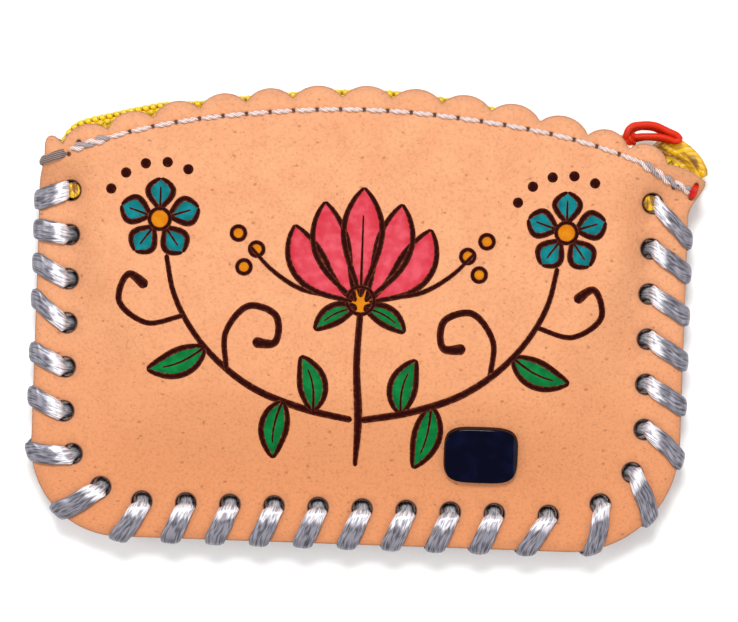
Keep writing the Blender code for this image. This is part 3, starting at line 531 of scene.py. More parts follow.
    def outline(self, per_scallop: int = 12, spacing: float = 0.7) -> Array:
        """The panels' outline, anticlockwise from the bottom right corner's start."""
        widths = in_full(self.scallops)
        ends = np.concatenate([[0.0], np.cumsum(widths)]) / widths.sum()
        rises = np.full(len(widths), self.scallop_depth)
        rises[-1] = self.last_scallop_rise
        part = np.arange(per_scallop) / per_scallop
        share = (ends[:-1, None] + np.diff(ends)[:, None] * part).ravel()
        sunk = self.lobe_depth(2.0 * part - 1.0) / self.lobe_depth(1.0)
        depth = (self.scallop_depth - rises[:, None] * (1.0 - sunk)).ravel()
        top = self.arch(np.append(share, 1.0), np.append(depth, self.scallop_depth))[::-1]
        turn = np.linspace(0.0, math.pi / 2, 25)
        corners = []
        right, left = (1, self.right_corner, -math.pi / 2), (-1, self.left_corner, math.pi)
        for sign, radius, start in (right, left):
            centre = np.array([sign * (self.half_width - radius), self.bottom_y + radius])
            corners.append(centre + radius * on_circle(start + turn))
        ease = np.linspace(0.0, 1.0, 10)[:-1]
        shoulders = []
        for sign, end in ((1, top[0]), (-1, top[-1])):
            x = sign * self.half_width + (end[0] - sign * self.half_width) * smooth(ease)
            y = end[1] - self.shoulder_height * (1.0 - ease)
            shoulders.append(np.stack([x, y], axis=-1))
        loop = np.concatenate([corners[0], shoulders[0], top, shoulders[1][::-1], corners[1]])
        ahead = np.roll(loop, -1, axis=0)
        fine = []
        for start, end in zip(loop, ahead):
            parts = max(math.ceil(math.dist(start, end) / spacing), 1)
            fine.append(start + (end - start) * (np.arange(parts) / parts)[:, None])
        return np.concatenate(fine)


# Finishes


def linear(hex_colour: str, alpha: float = 1.0) -> tuple[float, float, float, float]:
    """A hex colour as the eye names it, turned into the linear light that a shader takes."""
    channels = np.array([int(hex_colour[i : i + 2], 16) / 255.0 for i in (1, 3, 5)])
    light = np.where(channels <= 0.04045, channels / 12.92, ((channels + 0.055) / 1.055) ** 2.4)
    return (*(float(value) for value in light), alpha)


def per_mm(size: float) -> float:
    """Scale of a texture on Object coordinates whose features are size mm across."""
    return 1.0 / (size * MM)


def set_inputs(tree: Tree, node: Node, inputs: dict) -> None:
    """Link or set a node's inputs, by name or number.

    Args:
        tree: Where the node is.
        node: The node.
        inputs: For each input, the socket linked to it, a node whose first output is linked
            to it, or its own value.
    """
    for key, value in inputs.items():
        if isinstance(value, Node):
            value = value.outputs[0]
        if isinstance(value, bpy.types.NodeSocket):
            tree.links.new(value, node.inputs[key])
        else:
            node.inputs[key].default_value = value


def add_node(tree: Tree, kind: str, inputs: dict | None = None, **settings: object) -> Node:
    """Add a node.

    Args:
        tree: Where it goes.
        kind: Blender's name of the node, without the ShaderNode in front of it.
        inputs: What set_inputs takes.
        **settings: The node's own settings.

    Returns:
        The node.
    """
    made = tree.nodes.new("ShaderNode" + kind)
    for name, value in settings.items():
        setattr(made, name, value)
    set_inputs(tree, made, inputs or {})
    return made


def blend_colour(tree: Tree, share: Source, below: Source | str, above: Source | str) -> Source:
    """A colour that goes from below to above as share goes from 0 to 1."""
    ends = [linear(end) if isinstance(end, str) else end for end in (below, above)]
    inputs = {0: share, 6: ends[0], 7: ends[1]}
    return add_node(tree, "Mix", inputs, data_type="RGBA").outputs[2]


def ramp(
    tree: Tree, value: Source, low: float, high: float, start: float = 0.0, end: float = 1.0
) -> Source:
    """A value that goes smoothly from start to end as value goes from low to high."""
    inputs = {0: value, 1: low, 2: high, 3: start, 4: end}
    return add_node(tree, "MapRange", inputs, interpolation_type="SMOOTHSTEP")


class Finish:
    """What the finishes share: a material whose shader gets its inputs from shader_inputs.

    Attributes:
        name: Of the material.
        on_texture: Whether its nodes start from the texture places or from the object's own.
    """

    name: str
    on_texture = False

    def shader_inputs(self, tree: Tree, place: Source) -> dict:
        """The shader's inputs, made from where on the piece a point lies."""
        raise NotImplementedError

    def material(self) -> Material:
        """Build the material."""
        material = bpy.data.materials.new(self.name)
        material.use_nodes = True
        tree = material.node_tree
        if self.on_texture:
            place = add_node(tree, "UVMap", uv_map="UVMap")
        else:
            place = add_node(tree, "TexCoord").outputs["Object"]
        set_inputs(tree, tree.nodes["Principled BSDF"], self.shader_inputs(tree, place))
        return material


@dataclass(frozen=True)
class TannedLeather(Finish):
    """Vegetable-tanned cowhide, undyed and smooth: a warm, matt peach with fine open pores.

    It looks lighter where it bulges, from the light on its shape. Its colour is painted deeper
    towards the bottom as painted shade, where the lower slope turns from the light. Its cut edge
    is browner, and the flesh side is dull and fuzzy; needle pits and lacing-hole walls are painted
    dark as painted shade. The sizes of its clouds and specks and the spacings of its pores are in mm.
    """

    name: str = "vegetable_tanned_leather"
    light: str = "#d69569"
    deep: str = "#d18e63"
    # The low tone is painted shade towards the bottom; the streaks use it as well.
    low: str = "#cb8253"
    pore: str = "#8a5433"
    edge: str = "#8b5f48"
    # The pit tone is painted shade: the dark of needle pits and lacing-hole walls.
    pit: str = "#2e0d08"
    flesh: str = "#b68b6c"
    cloud: float = 6.0
    speck: float = 0.55
    pore_spacings: tuple[float, float] = (1.25, 2.9)

    def shader_inputs(self, tree: Tree, place: Source) -> dict:
        """Build the leather: mottle, painted shade towards the bottom, streaks, pores, browner cut
        edge, painted shade in pits and lacing-hole walls, and flesh side.
        """
        pores = self.pores(tree, place)
        colour = self.skin_colour(tree, place, pores)
        # The pit value paints shade into needle pits and onto lacing-hole walls.
        for name, tone in (("edge", self.edge), ("pit", self.pit), ("flesh", self.flesh)):
            share = add_node(tree, "Attribute", attribute_name=name).outputs["Fac"]
            colour = blend_colour(tree, share, colour, tone)
        grain = add_node(tree, "TexNoise",
                         {"Vector": place, "Scale": per_mm(LEATHER_GRAIN), "Detail": 3.0})
        shallow = add_node(tree, "Bump", {"Height": grain, "Strength": 0.6, "Distance": 0.07 * MM})
        deep = add_node(tree, "Bump", {"Height": pores, "Strength": 0.7,
                        "Distance": 0.12 * MM, "Normal": shallow}, invert=True)
        return {
            "Base Color": colour, "Roughness": ramp(tree, grain, 0.3, 0.7, 0.5, 0.62),
            "Specular IOR Level": 0.3, "Normal": deep}

    def pores(self, tree: Tree, place: Source) -> Source:
        """Small open pores: fine ones close together and bigger ones further apart.

        Each size lies in some of the cells of a loose flat net, a little longer than wide.
        """
        bent = add_node(tree, "TexNoise", {"Vector": place, "Scale": per_mm(1.5)})
        shift = add_node(tree, "VectorMath", {0: bent.outputs[1], "Scale": 0.9 * MM},
                         operation="SCALE")
        moved = add_node(tree, "VectorMath", {0: place, 1: shift})
        long = add_node(tree, "Mapping", {"Vector": moved, "Scale": (0.75, 1.0, 1.0)})
        sizes = []
        for spacing, rarest, strength in zip(self.pore_spacings, (0.66, 0.62), (0.7, 0.8)):
            cell = add_node(tree, "TexVoronoi", {"Vector": long, "Scale": per_mm(spacing)},
                            voronoi_dimensions="2D")
            dot = ramp(tree, cell.outputs["Distance"], 0.04, 0.12, strength, 0.0)
            chosen = add_node(tree, "SeparateColor", {0: cell.outputs["Color"]})
            some = ramp(tree, chosen, rarest, rarest + 0.3)
            sizes.append(add_node(tree, "Math", {0: dot, 1: some}, operation="MULTIPLY"))
        return add_node(tree, "Math", {0: sizes[0], 1: sizes[1]}, operation="MAXIMUM")

    def skin_colour(self, tree: Tree, place: Source, pores: Source) -> Source:
        """The grain side's colour, with painted shade towards the bottom, before edges and the painted
        shade of the stitches' pits.
        """
        cloud = add_node(tree, "TexNoise",
                         {"Vector": place, "Scale": per_mm(self.cloud), "Detail": 5.0})
        mottle = ramp(tree, cloud, 0.32, 0.68)
        colour = blend_colour(tree, mottle, self.light, self.deep)
        axes = add_node(tree, "SeparateXYZ", {0: place})
        # Painted shade: the colour deepens towards the bottom, where the lower slope turns from the
        # light.
        painted_low_shade = ramp(tree, axes.outputs[1], -42.0 * MM, 12.0 * MM, 1.0, 0.0)
        colour = blend_colour(tree, painted_low_shade, colour, self.low)
        long = add_node(tree, "Mapping", {"Vector": place, "Scale": (0.12, 1.0, 0.3)})
        streak = add_node(tree, "TexNoise",
                          {"Vector": long, "Scale": per_mm(self.speck), "Detail": 2.0})
        streaks = ramp(tree, streak, 0.55, 0.8, 0.0, 0.2)
        colour = blend_colour(tree, streaks, colour, self.low)
        fine = add_node(tree, "TexNoise", {"Vector": place, "Scale": per_mm(self.speck),
                        "Detail": 4.0, "Roughness": 0.7})
        speckle = ramp(tree, fine, 0.42, 0.8, 0.0, 0.45)
        colour = blend_colour(tree, speckle, colour, self.pore)
        return blend_colour(tree, ramp(tree, pores, 0.0, 1.0, 0.0, 0.6), colour, self.pore)


@dataclass(frozen=True)
class DyedLeather(Finish):
    """Leather dye brushed on the grain side: deep colour with the leather's grain under it."""

    name: str
    strong: str
    thin: str

    def shader_inputs(self, tree: Tree, place: Source) -> dict:
        """Build the dye: brushed unevenly, thinner where the value named thin says so."""
        brushed = add_node(tree, "TexNoise", {"Vector": place, "Scale": per_mm(1.6), "Detail": 4.0})
        uneven = ramp(tree, brushed, 0.35, 0.75, 0.0, 0.6)
        thin = add_node(tree, "Attribute", attribute_name="thin").outputs["Fac"]
        share = add_node(tree, "Math", {0: uneven, 1: thin})
        grain = add_node(tree, "TexNoise", {"Vector": place, "Scale": per_mm(LEATHER_GRAIN)})
        bump = add_node(tree, "Bump", {"Height": grain, "Strength": 0.35, "Distance": 0.06 * MM})
        return {
            "Base Color": blend_colour(tree, share, self.strong, self.thin), "Roughness": 0.6,
            "Specular IOR Level": 0.05, "Normal": bump}


@dataclass(frozen=True)
class BurntLine(Finish):
    """A line burnt into leather with a hot tip: almost black in the middle, brown beside."""

    name: str = "burnt_leather_line"
    core: str = "#250504"
    scorched: str = "#4c1e10"
    leather: str = "#955c3a"

    def shader_inputs(self, tree: Tree, place: Source) -> dict:
        """Build the burnt line; the value named beside is 0 in its middle and 1 at its edge."""
        beside = add_node(tree, "Attribute", attribute_name="beside").outputs["Fac"]
        waver = add_node(tree, "TexNoise", {"Vector": place, "Scale": per_mm(0.7), "Detail": 3.0})
        uneven = ramp(tree, waver, 0.3, 0.7, -0.22, 0.22)
        ragged = add_node(tree, "Math", {0: beside, 1: uneven})
        colour = blend_colour(tree, ramp(tree, ragged, 0.3, 0.95), self.core, self.scorched)
        colour = blend_colour(tree, ramp(tree, ragged, 0.95, 1.2), colour, self.leather)
        return {"Base Color": colour, "Roughness": 0.65, "Specular IOR Level": 0.03}


@dataclass(frozen=True)
class SatinFibre(Finish):
    """Satin lace of fine lengthwise filaments, with painted light: bright by the holes and painted
    shade towards the purse's edge.

    The filaments spread a highlight across the strand and keep it short along it, so the
    shader's tangent, the texture's first direction, runs across them. They are about 0.05 mm
    thick, and are drawn four times as coarse to show.
    """

    on_texture = True
    name: str = "satin_lace_filaments"
    light: str = "#efebef"
    dark: str = "#98949e"
    # The second pair of tones is painted shade: the filaments where the lace runs out to the edge.
    shaded_light: str = "#85828c"
    shaded_dark: str = "#4a4851"
    filament: float = 0.2

    def shader_inputs(self, tree: Tree, place: Source) -> dict:
        """Build the satin from its texture places, in mm, and the value that paints shade towards the
        edge.
        """
        long = add_node(tree, "Mapping", {"Vector": place, "Scale": (1.0, 0.09, 1.0)})
        fibre = add_node(tree, "TexNoise", {"Vector": long,
                         "Scale": 1.0 / self.filament, "Detail": 1.0, "Roughness": 0.5})
        share = ramp(tree, fibre, 0.36, 0.6)
        # A lit and a shaded copy of the filaments: painted light by the holes, painted shade outward.
        lit_fibres = blend_colour(tree, share, self.dark, self.light)
        shaded_fibres = blend_colour(tree, share, self.shaded_dark, self.shaded_light)
        bundle = add_node(tree, "TexNoise",
                          {"Vector": long, "Scale": 0.5 / self.filament, "Detail": 1.0})
        worn = add_node(tree, "Attribute", attribute_name="worn").outputs["Fac"]
        ragged = ramp(tree, bundle, 0.3, 0.7, -0.35, 0.35)
        streaky = add_node(tree, "Math", {0: worn, 1: ragged})
        tangent = add_node(tree, "Tangent", direction_type="UV_MAP", uv_map="UVMap")
        bump = add_node(tree, "Bump", {"Height": fibre, "Strength": 0.3, "Distance": 0.06 * MM})
        return {
            "Base Color": blend_colour(tree, ramp(tree, streaky, 0.2, 0.8), lit_fibres, shaded_fibres),
            "Metallic": 0.35, "Roughness": 0.4, "Anisotropic": 0.75,
            "Tangent": tangent, "Normal": bump}


@dataclass(frozen=True)
class SewingThread(Finish):
    """Twisted polyester sewing thread: pale, a little shiny, with painted shade in the grooves of the
    twist.

    The twist is how many degrees the grooves lean from the thread's own direction, and waves
    is the scale at which they follow each other.
    """

    on_texture = True
    name: str = "pale_sewing_thread"
    light: str = "#f4e6e0"
    # The second tone is painted shade between the twisted strands.
    groove_shade: str = "#a8857e"
    twist: float = 38.0
    waves: float = 1.1

    def shader_inputs(self, tree: Tree, place: Source) -> dict:
        """Build the thread from its texture places, in mm around and along it."""
        turned = add_node(tree, "Mapping",
                          {"Vector": place, "Rotation": (0.0, 0.0, math.radians(self.twist))})
        strand = add_node(tree, "TexWave", {"Vector": turned,
                          "Scale": self.waves, "Distortion": 1.5, "Detail": 2.0}).outputs[1]
        bump = add_node(tree, "Bump", {"Height": strand, "Strength": 0.6, "Distance": 0.1 * MM})
        return {
            "Base Color": blend_colour(tree, strand, self.groove_shade, self.light), "Roughness": 0.5,
            "Specular IOR Level": 0.3, "Normal": bump}


@dataclass(frozen=True)
class ZipNylon(Finish):
    """Dyed nylon monofilament of a coil zipper: bright golden yellow, smooth and waxy."""

    name: str = "golden_zip_nylon"
    bright: str = "#e8c410"
    deep: str = "#664802"

    def shader_inputs(self, tree: Tree, place: Source) -> dict:
        """Build the nylon, with painted shade in the gaps between the loops."""
        cloud = add_node(tree, "TexNoise", {"Vector": place, "Scale": per_mm(1.2)})
        uneven = ramp(tree, cloud, 0.35, 0.75, 0.0, 0.25)
        # The value named inside paints shade where the loops meet, and a little over the sewing knots.
        inside = add_node(tree, "Attribute", attribute_name="inside").outputs["Fac"]
        share = add_node(tree, "Math", {0: uneven, 1: inside}, use_clamp=True)
        return {
            "Base Color": blend_colour(tree, share, self.bright, self.deep),
            "Roughness": 0.32, "Subsurface Weight": 0.15, "Subsurface Radius": (1.0, 0.7, 0.2),
            "Subsurface Scale": 0.4 * MM}


@dataclass(frozen=True)
class ZipTape(Finish):
    """Woven polyester zipper tape, dyed golden yellow: fine yarns with a soft lengthwise shine.

    The yarns are about 0.25 mm apart and are drawn at 0.4 mm to show.
    """

    on_texture = True
    name: str = "woven_zip_tape"
    bright: str = "#e8b60c"
    deep: str = "#7c4c02"
    # The third tone is the painted shade between the yarns.
    seam: str = "#6a4602"

    def shader_inputs(self, tree: Tree, place: Source) -> dict:
        """Build the weave from its texture places, in mm, with painted shade between its yarns and
        painted light and shade in streaks along its creases where it is folded.
        """
        long = add_node(tree, "Mapping", {
            "Vector": place, "Scale": (1.0, 0.22, 1.0), "Rotation": (0.0, 0.0, 0.2)})
        # Painted light and shade: bright and deep streaks along the folds, only where the tape is
        # folded.
        crease = add_node(tree, "TexNoise", {"Vector": long, "Scale": 1.3, "Detail": 3.0})
        painted_fold_shade = ramp(tree, crease, 0.4, 0.6, 1.0, 0.0)
        folded = add_node(tree, "Attribute", attribute_name="folded").outputs["Fac"]
        shaded = add_node(tree, "Math", {0: painted_fold_shade, 1: folded}, operation="MULTIPLY")
        colour = blend_colour(tree, shaded, self.bright, self.deep)
        yarn = add_node(tree, "TexWave", {"Vector": place, "Scale": 0.8,
                        "Distortion": 1.2, "Detail": 2.0}, bands_direction="DIAGONAL").outputs[1]
        # Painted shade in the grooves between the yarns.
        grooves = ramp(tree, yarn, 0.0, 0.35, 0.25, 0.0)
        bump = add_node(tree, "Bump", {"Height": yarn, "Strength": 0.35, "Distance": 0.1 * MM})
        return {
            "Base Color": blend_colour(tree, grooves, colour, self.seam), "Roughness": 0.32,
            "Normal": bump}


@dataclass(frozen=True)
class SliderEnamel(Finish):
    """Zinc slider sprayed with yellow enamel: smooth and glossy, its yellow painted deeper as painted
    shade, with a cloud of deeper tone.
    """

    name: str = "yellow_slider_enamel"
    # Both tones are painted deeper than the zipper's yellow, as painted shade.
    bright: str = "#ca9f25"
    deep: str = "#7d550d"

    def shader_inputs(self, tree: Tree, place: Source) -> dict:
        """Build the enamel, with the wear of handling as a cloud of deeper tone."""
        wear = add_node(tree, "TexNoise", {"Vector": place, "Scale": per_mm(1.1), "Detail": 4.0})
        share = ramp(tree, wear, 0.5, 0.75, 0.0, 0.8)
        return {
            "Base Color": blend_colour(tree, share, self.bright, self.deep), "Roughness": 0.3,
            "Coat Weight": 0.4}


@dataclass(frozen=True)
class PullCordFinish(Finish):
    """Glossy braided cord, dyed orange-red: bright ridges with painted shade, a dark red, between them.
    """

    on_texture = True
    name: str = "orange_red_cord"
    bright: str = "#da2e06"
    deep: str = "#b01a04"

    def shader_inputs(self, tree: Tree, place: Source) -> dict:
        """Build the braid from texture places in mm around and along the cord."""
        turned = add_node(tree, "Mapping",
                          {"Vector": place, "Rotation": (0.0, 0.0, math.radians(30.0))})
        strand = add_node(tree, "TexWave", {"Vector": turned, "Scale": 0.8,
                          "Distortion": 1.0, "Detail": 1.0}).outputs[1]
        bump = add_node(tree, "Bump", {"Height": strand, "Strength": 0.12, "Distance": 0.08 * MM})
        # The deep red between the strands is painted shade.
        return {
            "Base Color": blend_colour(tree, strand, self.deep, self.bright), "Roughness": 0.42,
            "Specular IOR Level": 0.2, "Normal": bump}


@dataclass(frozen=True)
class PolishedStone(Finish):
    """Polished near-black blue stone: deep colour under a mirror-smooth surface."""

    name: str = "polished_navy_stone"
    body: str = "#010214"
    vein: str = "#040822"

    def shader_inputs(self, tree: Tree, place: Source) -> dict:
        """Build the stone, with a faint cloud of blue and a clear polish."""
        cloud = add_node(tree, "TexNoise", {"Vector": place, "Scale": per_mm(3.0), "Detail": 5.0})
        share = ramp(tree, cloud, 0.45, 0.75)
        return {
            "Base Color": blend_colour(tree, share, self.body, self.vein), "Roughness": 0.1,
            "Specular IOR Level": 0.07}


@dataclass(frozen=True)
class StudioPaper(Finish):
    """Seamless white background paper: flat white with the faintest tooth."""

    name: str = "white_studio_paper"
    white: str = "#ffffff"
    shade: str = "#e8e8e8"

    def shader_inputs(self, tree: Tree, place: Source) -> dict:
        """Build the paper."""
        tooth = add_node(tree, "TexNoise", {"Vector": place, "Scale": per_mm(0.8)})
        share = ramp(tree, tooth, 0.3, 0.7, 0.0, 0.03)
        return {
            "Base Color": blend_colour(tree, share, self.white, self.shade), "Roughness": 0.9,
            "Specular IOR Level": 0.1}


# Pieces


@dataclass
class StitchRow:
    """The row of stitches under the scallops, which sews each panel to its tape.

    Attributes:
        radius: Of the row about the arch's centre.
        pitch: From one needle hole to the next.
        first_x: Where the single stitches begin and last_x where they end.
    """

    form: PurseForm
    radius: float = 150.6
    pitch: float = 4.35
    first_x: float = -46.9
    last_x: float = 49.9
    stitch_length: float = 3.5
    thread: float = 0.48
    end_holes: Pairs = ((60.5, 26.0), (59.65, 23.7), (56.4, 25.5), (-54.0, 27.6), (-52.2, 29.9))

    def place(self, angle: Array) -> Array:
        """Flat points of the row at angles from straight up.

        The row is an arc that was sewn a little higher towards both ends, and lower again in
        its last centimetre on the right.
        """
        x = self.radius * np.sin(angle)
        higher = 0.75 * smooth((np.abs(x) - 15.0) / 28.0) - 1.1 * smooth((x - 48.0) / 9.0)
        return self.form.round_arch(angle, self.radius + higher)

    def angle_at(self, x: float) -> float:
        """Angle of the row's place at x."""
        return math.asin(x / self.radius)

    def hole_angles(self) -> Array:
        """Angles of the needle holes, from left to right."""
        first, last = self.angle_at(self.first_x), self.angle_at(self.last_x)
        count = round((last - first) * self.radius / self.pitch)
        return np.linspace(first, last, count + 1)

    def holes(self) -> Array:
        """Flat points of the needle holes, those of the over-stitched ends among them."""
        return np.concatenate([self.place(self.hole_angles()), np.array(self.end_holes)])


@dataclass
class LeatherPanels:
    """The front and back panels: cut, punched and stitched leather with rounded cut edges.

    Attributes:
        edge_round: How far in from a cut the edge's rounding starts.
        grid: Distance between the skin's inner points.
        closest: How near the inner points may come to others, as a share of that distance.
        hole_margin: How far outside of a hole's rounding they start.
        pit_depth: How far the stitches pull the leather in.
        pit_width: Radius of such a pit, and pit_rings of the rings of points round it.
        edge_profile: How far in from a cut, and at what share of the way to the inner face,
            each row of the cut's wall stands.
    """

    form: PurseForm
    row: StitchRow
    edge_round: float = 0.38
    grid: float = 1.35
    closest: float = 0.6
    hole_margin: float = 0.6
    pit_depth: float = 0.3
    pit_width: float = 0.55
    pit_rings: tuple[float, ...] = (0.34, 0.58, 0.85)
    hole_points: int = 32
    edge_profile: Pairs = ((0.12, 0.05), (0.0, 0.2), (0.0, 0.5), (0.0, 0.8), (0.12, 0.95))

    def offset_loop(self, loop: Array, inward: float) -> Array:
        """The loop moved to its left, which is inward for an anticlockwise loop."""
        ahead, behind = np.roll(loop, -1, axis=0), np.roll(loop, 1, axis=0)
        into, out = unit(loop - behind), unit(ahead - loop)
        square = np.stack([-(into + out)[:, 1], (into + out)[:, 0]], axis=-1)
        return loop + unit(square) * inward

    def inside(self, points: Array, loop: Array) -> Array:
        """Which points lie inside a loop: those whose ray to the right crosses it oddly."""
        x, y = points[:, :1], points[:, 1:]
        ahead = np.roll(loop, -1, axis=0)
        spans = (loop[:, 1] > y) != (ahead[:, 1] > y)
        rise = np.where(ahead[:, 1] == loop[:, 1], 1e-9, ahead[:, 1] - loop[:, 1])
        cross = loop[:, 0] + (y - loop[:, 1]) / rise * (ahead[:, 0] - loop[:, 0])
        return (spans & (x < cross)).sum(axis=1) % 2 == 1

    def plan(self) -> tuple[Array, Array, list[Array], list[Array]]:
        """The skin seen flat.

        Returns:
            Its points, its triangles, the point numbers of the rings round it and its holes,
            and the cut lines that those rings stand inside of, ring by ring.
        """
        form = self.form
        outline = form.outline()
        centres = form.line_at(form.holes())
        circle = form.hole_radius * on_circle(-ring_angles(self.hole_points))
        cuts = [outline] + [centre + circle for centre in centres]
        rings = [self.offset_loop(cut, self.edge_round) for cut in cuts]
        pits = self.row.holes()
        star = on_circle(ring_angles(8))
        near = [pits] + [(pits[:, None] + star * radius).reshape(-1, 2) for radius in self.pit_rings]
        low, high = outline.min(axis=0), outline.max(axis=0)
        rows = np.arange(low[1], high[1], self.grid * 0.866)
        columns = np.arange(low[0], high[0], self.grid)
        x, y = np.meshgrid(columns, rows)
        x = x + (np.arange(len(rows)) % 2)[:, None] * self.grid / 2
        inner = np.stack([x.ravel(), y.ravel()], axis=-1)
        far = to_nearest(inner, np.concatenate([rings[0]] + near)) > self.closest * self.grid
        rim = form.hole_radius + self.edge_round + self.hole_margin
        inner = inner[self.inside(inner, rings[0]) & far & (to_nearest(inner, centres) > rim)]
        near = [part[self.inside(part, self.offset_loop(outline, 2 * self.edge_round))]
                for part in near]
        points = np.concatenate([*rings, *near, inner])
        starts = np.cumsum([0] + [len(ring) for ring in rings])
        numbers = [np.arange(start, end) for start, end in zip(starts, starts[1:])]
        edges = np.concatenate([np.stack([ring, np.roll(ring, -1)], axis=-1) for ring in numbers])
        found = delaunay_2d_cdt(
            [Vector(point) for point in points.tolist()], edges.tolist(), [], 0, 1e-6
        )
        if len(found[0]) != len(points):
            raise ValueError("the rings of the panel's plan cross")
        triangles = np.array(found[2])
        middle = points[triangles].mean(axis=1)
        solid = to_nearest(middle, centres) > form.hole_radius + 0.95 * self.edge_round
        return points, triangles[solid & self.inside(middle, rings[0])], numbers, cuts

    def panel_patch(self, side: Side, plan: tuple[Array, Array, list[Array], list[Array]]) -> Patch:
        """Both skins of a panel and the rounded walls of its cuts, as one closed surface.

        Its values say how far each point has the tone of a cut edge, of painted shade in needle
        pits and lacing-hole walls, and of the flesh.
        """
        form = self.form
        points, triangles, rings, cuts = plan
        count = len(points)
        to_pit = to_nearest(points, self.row.holes())
        dent = self.pit_depth * np.exp(-((to_pit / self.pit_width) ** 2))
        outer, inner = form.outer(*points.T), form.half_gap(*points.T)
        blocks = [form.at_level(points, level, side) for level in (outer - dent, inner)]
        faces = [triangles, triangles[:, ::-1] + count]
        edge_value = np.zeros(count)
        edge_value[np.concatenate(rings)] = 0.25
        # The value named pit is painted shade round the needle holes of the stitch rows.
        values = {
            "edge": [edge_value, edge_value],
            "pit": [0.95 * smooth((0.64 - to_pit) / 0.34), np.zeros(count)],
            "flesh": [np.zeros(count), np.ones(count)],
        }
        start = 2 * count
        for number, (ring, cut) in enumerate(zip(rings, cuts)):
            wall = [ring]
            for inset, share in self.edge_profile:
                at = self.offset_loop(cut, inset)
                top, bottom = form.outer(*at.T), form.half_gap(*at.T)
                blocks.append(form.at_level(at, top + (bottom - top) * share, side))
                wall.append(np.arange(start, start + len(cut)))
                start += len(cut)
                tone = 0.55 if inset else 1.0
                # Lacing-hole walls get painted shade through the same value.
                in_hole = min(1.6 * tone, 1.0) if number else 0.0
                for name, value in (("edge", tone), ("pit", in_hole), ("flesh", 0.0)):
                    values[name].append(np.full(len(cut), value))
            wall.append(ring + count)
            for upper, lower in zip(wall, wall[1:]):
                quad = [upper, lower, np.roll(lower, -1), np.roll(upper, -1)]
                faces.append(np.stack(quad, axis=-1))
        if side is Side.BACK:
            faces = [block[:, ::-1] for block in faces]
        merged = {name: np.concatenate(parts) for name, parts in values.items()}
        return Patch(np.concatenate(blocks), faces, values=merged)

    def build(self) -> None:
        """Make both panels."""
        leather = TannedLeather().material()
        plan = self.plan()
        for side in Side:
            make_piece(f"{side.label}_leather", [self.panel_patch(side, plan)], leather, "purse",
                       (f"{side.label}_panel",), sharp_angle=70.0)


